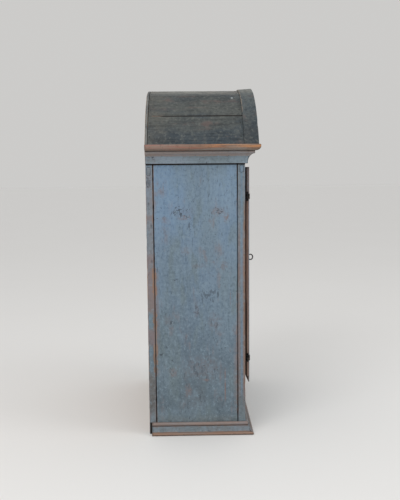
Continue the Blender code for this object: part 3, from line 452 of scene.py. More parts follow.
def anyOf(recipe, axes, rules):
    total = 0.0
    for limits in rules:
        total = within(recipe, axes, limits) | total
    return total


def fromCentre(recipe, spot, centre, size):  # 1 on the rim of an oval
    away = recipe.vector("DIVIDE", recipe.vector("SUBTRACT", spot, centre), size)
    return recipe.node("ShaderNodeVectorMath", {"operation": "LENGTH"}, {0: away}, out="Value")


def blotch(recipe, spot, uneven, centre, size):  # 1 inside a ragged oval
    return recipe.span(fromCentre(recipe, spot, centre, size) + (uneven - 0.5) * 1.6, 0.35, 1.15, 1.0, 0.0)


bandEdge = 0.001


# limits: axis, sign, where it starts, where it is full; washes: limits, share, colour
# zones: limits, reach from the edge, rubbed share, bare share; bare: axis, low, high, share, colour
def paintRecipe(
    name, look, grain, painted=(), shadeAndGrimeMasks=(), bare=(), marks=(), zones=(), washes=(), bareTones=underWood,
    handled=(), shadeAndGrimeShare=1.0,
):
    recipe = Recipe(name)
    spot = recipe.place()
    axes = recipe.split(spot)
    along = recipe.vector("MULTIPLY", spot, grainPull[grain])
    dashed = recipe.vector("MULTIPLY", spot, dashPull[grain])
    shifted = recipe.vector("ADD", dashed, (7.3, 2.2, 0.4))
    cloud = recipe.noise(spot, 6.0, 2)
    drift = recipe.noise(shifted, 11, 3)
    patch = recipe.noise(shifted, 26, 4, 0.62)
    mottle = recipe.noise(spot, 34, 4, 0.62)
    ragged = recipe.noise(spot, 95, 4, 0.65)
    grit = recipe.noise(dashed, 240, 3, 0.6)
    brush = recipe.noise(along, 110, 3, 0.6, 0.3)
    used = recipe.noise(recipe.place((1.9, 6.1, 2.8)), 5.5, 3)
    chip = recipe.noise(recipe.place((0.7, 3.3, 8.1)), 60, 5, 0.7)
    fleck = recipe.noise(recipe.place((4.1, 8.8, 2.9)), 105, 3, 0.7, 0.5)
    streak = recipe.noise(shifted, 115, 3, 0.65)

    # marks and zones say where the paint is more pitted, scratched or rubbed than elsewhere
    crowd = recipe.span(recipe.noise(recipe.place((5.5, 0.3, 1.1)), 7.5, 2), 0.42, 0.66)
    dashCrowd = recipe.span(recipe.noise(recipe.place((2.2, 9.3, 4.6)), 5.0, 2), 0.40, 0.64)
    rubbed = recipe.span(patch, 0.54, 0.70) * recipe.span(mottle, 0.36, 0.58) * look["rubShare"]
    for centre, size, pits, dashes, rub in marks:
        here = blotch(recipe, spot, mottle, centre, size)
        crowd = here * pits | crowd
        dashCrowd = here * dashes | dashCrowd
        rubbed = here * recipe.span(ragged, 0.34, 0.62) * rub | rubbed
    reach = recipe.span(used, 0.40, 0.64, 0.3, 1.8) * look["edgeWear"]
    toWood = recipe.span(used, 0.50, 0.66) * 0.6
    for limits, edge, rub, wood in zones:
        here = within(recipe, axes, limits)
        reach = here * recipe.span(chip, 0.36, 0.58, 0.1, 1.2) * edge + reach
        rubbed = here * recipe.span(mottle, 0.34, 0.62) * rub | rubbed
        toWood = here * wood | toWood

    # low down the tone turns to the foot colour: painted shade where less light falls, with dirt and tone
    tone = recipe.mix(recipe.span(axes["z"], *look["footSpan"]), look["foot"], look["main"])
    tone = recipe.mix(recipe.span(cloud, 0.42, 0.66) * 0.3, tone, look["pale"])
    tone = recipe.mix(recipe.span(drift, 0.46, 0.64) * look["drift"], tone, look["grey"])
    tone = recipe.mix(recipe.span(mottle, 0.50, 0.72) * 0.4, tone, look["pale"])
    tone = recipe.mix(recipe.span(patch, 0.34, 0.48, 0.5, 0.0), tone, look["grey"])
    for limits, share, colour in washes:
        uneven = recipe.span(mottle, 0.34, 0.60, 0.45, 1.0) * share
        tone = recipe.mix(within(recipe, axes, limits) * uneven, tone, colour)
    tone = recipe.mix(recipe.span(brush, 0.48, 0.68) * look["streaks"], tone, look["shade"], "MULTIPLY")
    tone = recipe.mix(recipe.span(ragged, 0.32, 0.48, 0.45, 0.0), tone, look["pale"])
    tone = recipe.mix(recipe.span(ragged, 0.52, 0.66) * 0.6, tone, look["shade"], "MULTIPLY")
    tone = recipe.mix(recipe.span(grit, 0.54, 0.68) * 0.45, tone, look["shade"], "MULTIPLY")
    tone = recipe.mix(rubbed, tone, look["rub"])
    pit = recipe.span(fleck + crowd * look["specks"], 0.69, 0.75)
    dash = recipe.span(streak + dashCrowd * look["dashes"], 0.66, 0.74)
    hurt = pit | dash * 0.7
    tone = recipe.mix(hurt * 0.75, tone, look["speck"])

    wood, ring, _ = woodTone(recipe, spot, grain, bareTones)
    worn = recipe.span(recipe.attribute("arris") + (ragged - 0.5) * 0.003, reach * 0.3, reach, 1.0, 0.0)
    worn = recipe.span(chip, 0.665, 0.69) * recipe.span(used, 0.46, 0.6) * look["chips"] | worn
    tone = recipe.mix(worn, tone, recipe.mix(toWood, look["rub"], wood))
    for axis, low, high, share, colour in bare:
        edge = axes[axis] + (ragged - 0.5) * 0.006
        inside = recipe.span(edge, low - bandEdge, low + bandEdge)
        inside = inside * recipe.span(edge, high - bandEdge, high + bandEdge, 1.0, 0.0)
        inside = inside * recipe.span(brush, 0.30, 0.60, share * 0.6, share)
        tone = recipe.mix(inside, tone, recipe.mix(0.6, wood, colour))
        worn = worn | inside
    if painted:
        plain = woodTone(recipe, spot, grain, pineTones)[0]
        if handled:
            plain = recipe.mix(within(recipe, axes, handled), plain, wood)
        tone = recipe.mix(anyOf(recipe, axes, painted), plain, tone)
    # dark joints, and painted shade in creases along inward and short edges
    dark = recipe.span(recipe.attribute("seam") + (ragged - 0.5) * 0.001, 0.0003, 0.0019, look["seam"], 0.0)
    # painted shade and grime in gaps, grooves and under ledges, where the listed masks say
    if shadeAndGrimeMasks:
        dark = anyOf(recipe, axes, shadeAndGrimeMasks) * shadeAndGrimeShare | dark
    tone = recipe.mix(dark, tone, grimeAndShadeTone)

    rough = look["rough"] + (mottle - 0.5) * 0.22 + worn * 0.08
    height = (1 - worn) * 0.6 + grit * 0.35 + mottle * 0.25 - hurt * 0.8 + ring * worn * 0.5
    return recipe.finish(tone, rough, recipe.bump(height, 0.5, 0.0007), gloss=0.35)


beadTones = {
    **woods((94, 71, 59), (131, 103, 85), (152, 119, 93), (152, 107, 74)),
    "back": rgb(140, 119, 110),
    # orange wood with a painted highlight on the upper curve, then painted shade on the lower curve
    "litOrange": rgb(190, 132, 86),
    "under": rgb(116, 100, 88),
    "red": rgb(150, 90, 78),
    "paint": rgb(134, 132, 128),
    "stain": rgb(92, 74, 64),
    "arris": rgb(92, 64, 48),
}
# dark joints, and painted shade in creases, on bare pine
pineSeam = rgb(46, 32, 24)


def pineRecipe(name, grain, tones=pineTones, shift=(0, 0, 0), knots=()):
    recipe = Recipe(name)
    spot = recipe.place(shift)
    tone, ring, fibre = woodTone(recipe, spot, grain, tones)
    stain = recipe.noise(spot, 4.0, 4, 0.6)
    tone = recipe.mix(recipe.span(stain, 0.48, 0.74) * 0.35, tone, tones["dark"])
    uneven = recipe.noise(recipe.place(), 70, 3)
    knot = rim = 0.0
    for centre, size in knots:
        away = fromCentre(recipe, recipe.place(), centre, size) + (uneven - 0.5) * 0.6
        knot = recipe.span(away, 0.50, 0.80, 0.9, 0.0) | knot
        rim = recipe.span(away, 0.75, 1.70, 0.7, 0.0) | rim
    if knots:
        tone = recipe.mix(rim, tone, tones["knotRim"])
        tone = recipe.mix(knot, tone, tones["knot"])
    arris = recipe.attribute("arris")
    seam = recipe.attribute("seam")
    tone = recipe.mix(recipe.span(arris, 0.0, 0.004, 0.35, 0.0), tone, tones["light"])
    # dark joints, and painted shade in creases along inward and short edges
    tone = recipe.mix(recipe.span(seam, 0.0004, 0.003, 0.75, 0.0), tone, pineSeam)
    height = ring * 0.5 + fibre * 0.5 - knot * 0.4
    return recipe.finish(tone, ring * 0.15 + 0.6, recipe.bump(height, 0.4, 0.0006), gloss=0.3)


beadLow = boxes["cornice_ovolo_left"][0].z


def beadRecipe(name, grain):  # the strip over the cove, where the paint is almost gone
    recipe = Recipe(name)
    spot = recipe.place()
    axes = recipe.split(spot)
    along = recipe.vector("MULTIPLY", spot, grainPull[grain])
    tone, ring, fibre = woodTone(recipe, spot, grain, beadTones)
    brush = recipe.noise(along, 130, 4, 0.62, 0.3)
    ragged = recipe.noise(spot, 95, 4, 0.65)
    level = axes["z"] + (ragged - 0.5) * 0.006
    towardBack = recipe.span(axes["y"], faceY + 0.10, backY - 0.04)
    tone = recipe.mix(towardBack * 0.75, tone, beadTones["back"])
    # upper front of the bead: orange wood with a painted highlight on its upper curve
    litOrange = recipe.span(axes["y"] * -1, -0.03, 0.07) * recipe.span(level, beadLow + 0.008, beadLow + 0.014)
    tone = recipe.mix(litOrange * recipe.span(brush, 0.36, 0.58), tone, beadTones["litOrange"])
    # painted shade on the lower curve of the bead
    under = recipe.span(level, beadLow + 0.003, beadLow + 0.009, 0.75, 0.0)
    tone = recipe.mix(under, tone, beadTones["under"])
    redStreak = recipe.span(recipe.noise(along, 190, 3, 0.6), 0.53, 0.62)
    redStreak = redStreak * recipe.span(axes["y"], faceY, 0.06)
    tone = recipe.mix(redStreak * 0.45, tone, beadTones["red"])
    left = recipe.span(recipe.noise(along, 75, 4, 0.6), 0.52, 0.66)
    tone = recipe.mix(left * 0.55, tone, beadTones["paint"])
    tone = recipe.mix(recipe.span(ragged, 0.54, 0.66) * 0.4, tone, beadTones["stain"])
    arris = recipe.attribute("arris")
    seam = recipe.attribute("seam")
    tone = recipe.mix(recipe.span(arris, 0.0, 0.003, 0.35, 0.0), tone, beadTones["arris"])
    # dark joints, and painted shade in creases along inward and short edges
    tone = recipe.mix(recipe.span(seam, 0.0005, 0.0025, 0.8, 0.0), tone, grimeAndShadeTone)
    height = ring * 0.5 + fibre * 0.5 + left * 0.3
    return recipe.finish(tone, ring * 0.12 + 0.55, recipe.bump(height, 0.5, 0.0006), gloss=0.35)


ironLook = {
    "black": rgb(38, 36, 36),
    "grey": rgb(74, 70, 68),
    "rust": rgb(88, 58, 42),
    "hammer": 190,
}
paintedLook = {**ironLook, "black": rgb(60, 64, 64), "grey": rgb(84, 86, 84), "rust": rgb(84, 76, 70)}
bluedLook = {**ironLook, "black": rgb(92, 98, 104), "grey": rgb(112, 120, 126), "rust": rgb(108, 100, 98)}


def ironRecipe(name, s):
    recipe = Recipe(name)
    spot = recipe.place()
    hammered = recipe.noise(spot, s["hammer"], 3)
    bloom = recipe.noise(spot, 75, 4, 0.65)
    tone = recipe.mix(recipe.span(hammered, 0.45, 0.7), s["black"], s["grey"])
    rusty = recipe.span(bloom, 0.54, 0.68)
    tone = recipe.mix(rusty * 0.7, tone, s["rust"])
    rough = rusty * 0.25 + hammered * 0.2 + 0.35
    recipe.feed(recipe.shader.inputs["Metallic"], 0.85 - rusty * 0.6)
    return recipe.finish(tone, rough, recipe.bump(hammered + bloom * 0.6, 0.5, 0.0006))


forgedIron = ironRecipe("forgedIron", ironLook)
paintedIron = ironRecipe("paintedIron", paintedLook)
bluedIron = ironRecipe("bluedIron", bluedLook)
for name in nodes:
    if nodes[name].data.materials[0].name.startswith("forged_iron"):
        nodes[name].data.materials[0] = forgedIron
print("ironwork finished")

# side boards and frames

softStep = 0.0004
heightFade = 0.03
outerSkin = (-0.006, -0.003)
sideGrooves = {
    "paintFrom": 0.0025,
    "coveShadow": (-0.0050, -0.0032),
    "lap": (-0.0075, -0.0065),
    "beside": (-0.009, -0.006),
    "mouth": (0.0010, 0.0030),
    "floor": (0.0045, 0.0055),
    "baseShadow": (-0.0005, 0.0015),
    "plainBack": 0.0016,
}


def past(axis, sign, place, ways):  # a limit that starts and is full some way from a place
    return (axis, sign, *[sign * place + way for way in ways])


def facing(axis, sign, place):  # everything on one side of a place
    return [past(axis, sign, place, (-softStep, softStep))]


def inBand(low, lowFull, highFull, high, axis="z"):
    return [(axis, 1, low, lowFull), (axis, -1, -high, -highFull)]


def outsideHeights(limits, low, high):
    fade = (-heightFade, heightFade)
    return [limits + [past("z", -1, low, fade)], limits + [past("z", 1, high, fade)]]


def gapDepth(sign, s):
    return [past("x", sign, -sign * sideX, s["mouth"]), past("x", -sign, -sign * innerX, s["floor"])]


coveLow, coveTop = (corner.z for corner in boxes["cornice_cove_left"])
baseTop = boxes["base_moulding_left"][1].z
outerFace = innerX + sideGrooves["paintFrom"]
# painted shadow under the overhanging cove
underCove = [past("z", 1, coveLow, sideGrooves["coveShadow"])]
frontGroove = past("y", 1, frameBackY, sideGrooves["lap"])
backGroove = past("y", -1, backFrameY, sideGrooves["lap"])
byGroove = past("y", -1, backFrameY, sideGrooves["beside"])

# y, z, half width and half height of each mark, then how pitted, scratched and rubbed it is
panelMarks = [
    (0.084, 0.752, 0.042, 0.026, 3.1, 1.0, 0.15),
    (0.078, 0.733, 0.024, 0.010, 2.6, 0.8, 0.60),
    (0.055, 0.697, 0.014, 0.030, 2.2, 1.6, 0.00),
    (-0.035, 0.752, 0.026, 0.018, 2.9, 0.8, 0.60),
    (-0.062, 0.730, 0.012, 0.020, 0.0, 0.4, 0.90),
    (-0.011, 0.720, 0.010, 0.012, 0.0, 0.4, 0.40),
    (0.141, 0.727, 0.018, 0.016, 0.5, 0.4, 0.50),
    (0.070, 0.625, 0.022, 0.020, 0.6, 0.8, 0.40),
    (0.028, 0.573, 0.024, 0.010, 1.8, 0.8, 0.25),
    (-0.051, 0.573, 0.014, 0.026, 0.8, 0.8, 0.45),
    (0.106, 0.527, 0.014, 0.010, 3.0, 0.4, 0.00),
    (0.040, 0.428, 0.012, 0.034, 2.0, 1.8, 0.30),
    (-0.010, 0.470, 0.040, 0.030, 0.4, 2.2, 0.00),
    (-0.0745, 0.465, 0.0024, 0.030, 0.0, 0.0, 0.75),
    (0.134, 0.390, 0.022, 0.022, 2.6, 0.8, 0.25),
    (-0.020, 0.385, 0.026, 0.036, 0.9, 2.6, 0.35),
    (0.068, 0.144, 0.016, 0.030, 1.4, 1.2, 0.75),
    (0.050, 0.120, 0.050, 0.050, 1.4, 1.2, 0.15),
    (0.020, 0.225, 0.080, 0.050, 1.2, 1.6, 0.35),
    (0.011, 0.185, 0.014, 0.007, 0.8, 0.6, 0.80),
    (0.120, 0.211, 0.016, 0.018, 1.8, 1.2, 0.80),
    (0.044, 0.211, 0.012, 0.012, 2.8, 0.8, 0.30),
]
# the side grooves get painted shade and dirt except between these heights
grooveShadeBreak = {"back": (0.22, 0.56), "front": (0.24, 0.79)}
grooveBands = [
    (0.455, 0.475, 0.560, 0.580),
    (0.355, 0.370, 0.410, 0.425),
    (0.195, 0.215, 0.300, 0.320),
]
frontRub = inBand(-0.0580, -0.0565, -0.0545, -0.0530, "y")
panelZones = [
    *[([("y", 1, 0.12, 0.14), *inBand(*band)], 0.0045, 0.0, 0.8) for band in grooveBands],
    ([("y", -1, 0.060, 0.075), *inBand(0.04, 0.10, 0.45, 0.55)], 0.0020, 0.0, 0.3),
    ([("y", 1, 0.158, 0.170), *inBand(0.18, 0.24, 0.54, 0.58)], 0.0030, 0.6, 0.7),
    ([("y", -1, 0.080, 0.092), *inBand(0.05, 0.09, 0.34, 0.40)], 0.0020, 0.6, 0.4),
]
panelWashes = [
    ([("y", -1, 0.02, 0.07), ("z", 1, 0.76, 0.84)], 0.55, rgb(119, 144, 170)),
    ([("y", 1, 0.06, 0.12), ("z", 1, 0.64, 0.74)], 0.50, rgb(110, 137, 164)),
    ([("z", -1, -0.075, -0.045)], 0.45, rgb(108, 113, 111)),
    ([*frontRub, *inBand(0.105, 0.125, 0.210, 0.230)], 1.0, rgb(122, 100, 94)),
]
backStileZones = [
    *[([byGroove, *inBand(*band)], 0.0060, 0.1, 1.0) for band in grooveBands],
    *[(inBand(*band), 0.0022, 0.1, 1.0) for band in grooveBands],
    (inBand(0.41, 0.44, 0.58, 0.64), 0.0010, 0.85, 0.6),
    (inBand(0.30, 0.32, 0.35, 0.37), 0.0010, 0.75, 0.4),
    (inBand(0.70, 0.72, 0.735, 0.75), 0.0030, 0.9, 0.6),
]
frontArris = {"near": (-0.0080, -0.0050), "heights": (0.10, 0.18, 0.74, 0.80), "wear": (0.0068, 0.6, 1.0)}
byFront = [past("y", -1, faceY, frontArris["near"]), *inBand(*frontArris["heights"])]
arrisTones = woods((86, 68, 60), (118, 97, 87), (136, 113, 99), (140, 104, 82))
frontStileZones = [
    (inBand(0.04, 0.10, 0.58, 0.66), 0.0016, 0.12, 0.5),
    (inBand(0.48, 0.52, 0.56, 0.60), 0.0010, 0.45, 0.5),
]
backStileMarks = [
    (0.192, 0.850, 0.014, 0.034, 2.6, 2.0, 0.45),
    (0.190, 0.775, 0.012, 0.034, 1.6, 2.4, 0.30),
    (0.190, 0.690, 0.010, 0.040, 0.6, 2.2, 0.20),
    (0.190, 0.345, 0.012, 0.016, 2.2, 0.6, 0.30),
]
backStileWashes = [
    (inBand(0.350, 0.380, 0.400, 0.430), 0.9, rgb(102, 126, 142)),
    (inBand(0.195, 0.225, 0.285, 0.320), 0.9, rgb(98, 120, 134)),
    (inBand(0.295, 0.320, 0.345, 0.370), 0.8, rgb(118, 102, 104)),
    (inBand(0.405, 0.435, 0.465, 0.490), 0.9, rgb(122, 106, 98)),
    (inBand(0.465, 0.495, 0.590, 0.650), 0.8, rgb(128, 114, 116)),
    ([("z", 1, 0.76, 0.82)], 0.6, rgb(112, 132, 150)),
]
stileMiddle = (faceY + frameBackY) / 2
wornHeights = inBand(0.06, 0.20, 0.66, 0.74)
blueStripe = [
    past("y", 1, stileMiddle, (-0.0045, -0.0025)),
    past("y", -1, stileMiddle, (-0.0040, -0.0020)),
]
frontFace = ([past("y", -1, faceY, (-0.0024, -0.0010)), ("z", 1, 0.02, 0.60)], 1.1, rgb(111, 133, 155))
frontStileWashes = [
    ([past("y", -1, stileMiddle, (0.001, 0.004)), *wornHeights], 0.9, rgb(124, 110, 105)),
    ([past("y", 1, stileMiddle, (0.003, 0.006)), *wornHeights], 0.8, rgb(120, 110, 110)),
    ([*blueStripe, ("z", 1, 0.06, 0.20)], 0.85, rgb(104, 127, 146)),
]
backStileLook = {**blueLook, "main": rgb(118, 124, 131), "foot": rgb(99, 98, 97)}
frontStileLook = {**blueLook, "main": rgb(118, 125, 133), "foot": rgb(95, 98, 101)}


def sideMarks(sign, places):
    return [((-sign * sideX, y, z), (0.3, wide, high), *hurt) for y, z, wide, high, *hurt in places]


def sidePanels():
    for side, sign in (("left", 1), ("right", -1)):
        marks = sideMarks(sign, panelMarks)
        shown = facing("x", -sign, -sign * outerFace)
        gap = gapDepth(sign, sideGrooves) + shown
        # painted shade and dirt deep in the grooves beside the panel
        grooveShade = outsideHeights(gap + facing("y", 1, 0), *grooveShadeBreak["back"])
        grooveShade += outsideHeights(gap + facing("y", -1, 0), *grooveShadeBreak["front"])
        finish = paintRecipe(
            f"sidePaint.{side}", blueLook, "z", marks=marks if side == "left" else marks[::3],
            zones=panelZones, painted=[shown], shadeAndGrimeMasks=[*grooveShade, underCove + shown], washes=panelWashes,
        )
        wornCopy(f"side_panel_{side}", boardWear, "z", finish)


def frames():
    toFront = facing("y", -1, frameBackY)
    inFrontOfBack = facing("y", -1, backY - sideGrooves["plainBack"])
    # painted shadow on the back stile behind the base moulding
    behindBase = [past("z", -1, baseTop, sideGrooves["baseShadow"])]
    for side, sign in (("left", 1), ("right", -1)):
        shown = facing("x", -sign, -sign * outerFace)
        outside = past("x", -sign, -sign * sideX, outerSkin)
        # painted shade and dirt in the grooves, under the cove and behind the base
        gap = gapDepth(sign, sideGrooves)
        sideWashes = [([*limits, outside], share, colour) for limits, share, colour in frontStileWashes]
        finish = paintRecipe(
            f"frontStilePaint.{side}", frontStileLook, "z", painted=[toFront, shown], bareTones=arrisTones,
            washes=[frontFace, *sideWashes],
            zones=[([*byFront, outside], *frontArris["wear"]), *frontStileZones],
            shadeAndGrimeMasks=[*outsideHeights(gap + [frontGroove], *grooveShadeBreak["front"]), underCove + shown],
        )
        wornCopy(f"front_stile_{side}", boardWear, "z", finish)
        grooveShade = outsideHeights(gap + [backGroove], *grooveShadeBreak["back"])
        finish = paintRecipe(
            f"backStilePaint.{side}", backStileLook, "z", zones=backStileZones, painted=[shown],
            marks=sideMarks(sign, backStileMarks), washes=backStileWashes,
            shadeAndGrimeMasks=[*grooveShade, underCove + shown + inFrontOfBack, behindBase + shown + inFrontOfBack],
        )
        wornCopy(f"back_stile_{side}", boardWear, "z", finish)
    finish = paintRecipe("frontRailPaint", blueLook, "x", painted=[toFront])
    for name in ("front_top_rail", "front_bottom_rail"):
        wornCopy(name, boardWear, "x", finish, plainEnds=True)
    ends = [facing("x", sign, sign * outerFace) for sign in (1, -1)]
    finish = paintRecipe("backRailEnds", backStileLook, "x", painted=ends, bareTones=pineTones)
    wornCopy("back_top_rail", plainWear, "x", finish, plainEnds=True)


sidePanels()
frames()
print("sides and frames worn in")

# mouldings

coveMarks = [((0, 0.185, 0.926), (1.0, 0.030, 0.024), 2.4, 0.8, 0.35)]
coveLook = {**blueLook, "main": rgb(130, 142, 153), "rubShare": 0.6, "edgeWear": 0.0006}
baseLook = {**blueLook, "foot": rgb(112, 117, 121), "edgeWear": 0.0008, "rubShare": 0.6, "seam": 0.4}
coveWear = {
    "bareDepth": 0.0170,
    "bareShare": 0.75,
    "bareTone": rgb(146, 132, 126),
    "topShadow": (-0.0020, -0.0012),
    "footShadow": (-0.0014, -0.0006),
    "plainBack": 0.0008,
}
baseWear = {
    # the lowest strip: painted contact shadow and dirt along the floor
    "soleShade": 0.0046,
    "soleShadeTone": rgb(50, 37, 31),
    "toe": 0.0113,
    "toeTone": rgb(146, 116, 97),
    "bead": 0.0274,
    "beadTone": rgb(142, 127, 122),
    "shares": {"y": (0.95, 0.85), "x": (0.50, 0.45)},
}
pastEnd = 0.01


def covePaint(grain, s):
    # painted shadow lines: under the bead's overhang at the top and along the cove's foot
    lines = [[past("z", 1, coveTop, s["topShadow"])], [past("z", -1, coveLow, s["footShadow"])]]
    return paintRecipe(
        f"covePaint.{grain}", coveLook, grain, marks=coveMarks, shadeAndGrimeMasks=lines,
        bare=[("z", coveTop - s["bareDepth"], coveTop + pastEnd, s["bareShare"], s["bareTone"])],
        painted=[facing("y", -1, backY - s["plainBack"])],
    )


def basePaint(grain, s):
    toeShare, beadShare = s["shares"][grain]
    return paintRecipe(f"basePaint.{grain}", baseLook, grain, bare=[
        ("z", -pastEnd, s["toe"], toeShare, s["toeTone"]),
        ("z", s["bead"], baseTop + pastEnd, beadShare, s["beadTone"]),
        # the lowest strip: painted contact shadow and dirt along the floor
        ("z", -pastEnd, s["soleShade"], 1.0, s["soleShadeTone"]),
    ])


def mouldings():
    for grain, sides in (("y", ("left", "right")), ("x", ("front",))):
        cove, base = covePaint(grain, coveWear), basePaint(grain, baseWear)
        bead = beadRecipe(f"beadWood.{grain}", grain)
        for side in sides:
            wornCopy(f"cornice_cove_{side}", mouldWear, grain, cove, plainEnds=True)
            wornCopy(f"cornice_ovolo_{side}", mouldWear, grain, bead, plainEnds=True)
            wornCopy(f"base_moulding_{side}", mouldWear, grain, base, plainEnds=True)


mouldings()
print("mouldings worn in")

# roof

roofBoards = sorted(name for name in nodes if name.startswith("roof_board"))
rimLook = {
    **roofLook,
    "main": rgb(80, 88, 90),
    # foot: darker low on the rim, painted shade where the curve turns from the light
    "foot": rgb(44, 51, 57),
    "footSpan": (roofFootZ, roofFootZ + 0.16),
}
gableLook = {**roofLook, "main": rgb(119, 118, 115), "foot": rgb(112, 113, 112)}
greyedTones = woods((94, 87, 80), (122, 114, 104), (138, 130, 118), (124, 106, 90))
roofDirt = {
    "crack": (-0.0024, -0.0014),
    "crackEnd": (0.032, 0.052),
    "rearGap": (-0.0014, -0.0008),
    "rearGapFoot": (-0.03, 0.02),
    "rear": (0.10, 0.17),
    "rearTone": rgb(90, 86, 78),
    "crown": (-0.031, -0.012),
    "crownHighlight": rgb(131, 131, 125),
    "fleckAlong": (-0.0945, -0.0930, -0.0880, -0.0865),
    "fleckUp": (1.1285, 1.1300, 1.1335, 1.1350),
    "fleckTone": rgb(146, 152, 154),
    "rimCrownHighlight": rgb(118, 120, 115),
    "rimFoot": (-0.12, -0.03),
    "rimFootTone": rgb(47, 55, 61),
    "rimEdge": (-0.006, -0.005),
    "rimEdgeFoot": (0, 0.03),
    "rimEdgeWear": (0.0030, 0.2, 1.0),
    "plainBack": 0.001,
}


def roof(s):
    crackZ = boxes["roof_board_1"][1].z
    rearEnd = boxes["roof_board_1"][1].y
    rimBack = boxes["arch_rim_left"][1].y
    # painted shade in the crack between boards and in the gap at their rear end
    crack = [past("z", sign, crackZ, s["crack"]) for sign in (1, -1)]
    crack.append(past("y", -1, rearEnd, s["crackEnd"]))
    rearGap = [past("y", 1, rearEnd, s["rearGap"]), past("z", 1, crackZ, s["rearGapFoot"])]
    # painted highlight along the crown, where the curve catches the light
    crown = [past("z", 1, crownZ, s["crown"])]
    fleck = inBand(*s["fleckAlong"], "y") + inBand(*s["fleckUp"])
    boards = paintRecipe("roofPaint.boards", roofLook, "y", shadeAndGrimeMasks=[crack, rearGap], washes=[
        (crown, 0.95, s["crownHighlight"]),
        ([("y", 1, *s["rear"])], 0.4, s["rearTone"]),
        (fleck, 1.6, s["fleckTone"]),
    ])
    for name in roofBoards:
        wornCopy(name, roofWear, "y", boards, plainEnds=True)
    # darker towards the foot of the rim: painted shade where the curve turns from the light
    rimFoot = [past("z", -1, roofFootZ, s["rimFoot"])]
    tanEdge = [past("y", 1, rimBack, s["rimEdge"]), past("z", 1, crackZ, s["rimEdgeFoot"])]
    rim = paintRecipe(
        "roofPaint.rim", rimLook, "x", bareTones=greyedTones, zones=[(tanEdge, *s["rimEdgeWear"])],
        washes=[(crown, 0.9, s["rimCrownHighlight"]), (rimFoot, 0.85, s["rimFootTone"])],
    )
    for part in ("left", "crown", "right"):
        wornCopy(f"arch_rim_{part}", rimWear, "x", rim)
    inFront = facing("y", -1, backY - s["plainBack"])
    gable = paintRecipe("roofPaint.gable", gableLook, "x", painted=[inFront], bareTones=pineTones)
    wornCopy("rear_gable", rimWear, "x", gable)
    tympanum = paintRecipe("tympanumPaint", blueLook, "x")
    wornCopy("tympanum_board", boardWear, "x", tympanum)


roof(roofDirt)
print("roof worn in")

# door

doorLook = {**blueLook, "edgeWear": 0.0028, "chips": 0.6}
lipTones = woods((99, 78, 69), (141, 116, 105), (159, 133, 118), (150, 112, 92))
doorWear = {
    "back": 0.0095,
    "deep": 0.0050,
    "sight": 0.0105,
    "front": 0.0022,
    "tip": (0.0030, 0.0040),
    "rim": (0.004, 0.005),
    "lipEnd": (-0.005, -0.004),
    "outer": (-0.003, -0.0025),
    "rebate": (-0.0215, -0.0205),
    "groove": 0.0105,
    "cheek": 0.0120,
    "panelBack": 0.0005,
    "handLow": 0.45,
    "handHigh": 0.78,
    "shadeAndGrimeShare": 0.74,
    "greyFade": 0.02,
    "greyWear": (0.0, 1.0, 0.3),
    "greyShare": 1.4,
    "greyTone": rgb(124, 110, 104),
    "byKey": (0.40, 0.48, 0.58, 0.66),
    "keyWear": (0.005, 0.3, 1.0),
}


def door(s):
    lowZ, highZ = (corner.z for corner in boxes["door_hinge_stile"])
    inFront = facing("y", -1, doorFrontY + s["front"])
    lip = facing("y", -1, faceY)
    hidden = facing("y", 1, faceY - s["back"])
    deep = facing("y", 1, faceY - s["deep"])
    sight = facing("y", -1, faceY - s["sight"])
    bottomEdge = [past("z", -1, lowZ, s["rebate"])]
    topEdge = [past("z", 1, highZ, s["rebate"])]
    underLip = bottomEdge + [past("y", 1, doorFrontY, s["tip"])]
    overLip = topEdge + hidden
    inside = [past("z", 1, lowZ, s["rim"]), past("z", -1, highZ, s["rim"])]
    between = facing("z", 1, boxes["door_bottom_rail"][1].z) + facing("z", -1, boxes["door_top_rail"][0].z)
    grooveX = boxes["door_lock_stile"][0].x + s["groove"]
    shared = {"bareTones": lipTones, "handled": lip, "shadeAndGrimeShare": s["shadeAndGrimeShare"]}
    for side, sign in (("hinge", -1), ("lock", 1)):
        outer = [past("x", sign, sign * openingX, s["outer"])]
        away = [past("x", -sign, sign * doorX, s["rim"])]
        greyLip = [
            past("x", sign, sign * doorX, s["lipEnd"]),
            ("z", 1, s["handHigh"], s["handHigh"] + s["greyFade"]),
            *facing("y", -1, faceY - s["back"]),
        ]
        zones = [(greyLip, *s["greyWear"])]
        if side == "lock":
            zones.append((inBand(*s["byKey"]), *s["keyWear"]))
        grooveEnd = facing("x", -sign, sign * grooveX) + facing("y", 1, faceY - s["cheek"])
        # painted shade and dirt in the slot behind the lip, over and under its ends and at the groove ends
        lipShadeAndDirt = outsideHeights(hidden + outer, s["handLow"], s["handHigh"])
        lipShadeAndDirt += [deep + outer, underLip, overLip, grooveEnd + bottomEdge, grooveEnd + topEdge]
        finish = paintRecipe(
            f"doorPaint.{side}Stile", doorLook, "z", painted=[inFront, sight + away + between, greyLip],
            shadeAndGrimeMasks=lipShadeAndDirt, zones=zones, washes=[(greyLip, s["greyShare"], s["greyTone"])], **shared,
        )
        wornCopy(f"door_{side}_stile", boardWear, "z", finish)
    rails = paintRecipe(
        "doorPaint.rails", doorLook, "x", painted=[inFront, sight + inside],
        shadeAndGrimeMasks=[underLip, overLip], **shared,
    )
    panelFront = facing("y", -1, boxes["door_panel"][1].y - s["panelBack"])
    panel = paintRecipe("doorPaint.panel", doorLook, "z", painted=[panelFront])
    for name in ("door_top_rail", "door_bottom_rail"):
        wornCopy(name, boardWear, "x", rails)
    wornCopy("door_panel", boardWear, "z", panel)


door(doorWear)
print("door worn in")

# plain boards inside and at the back

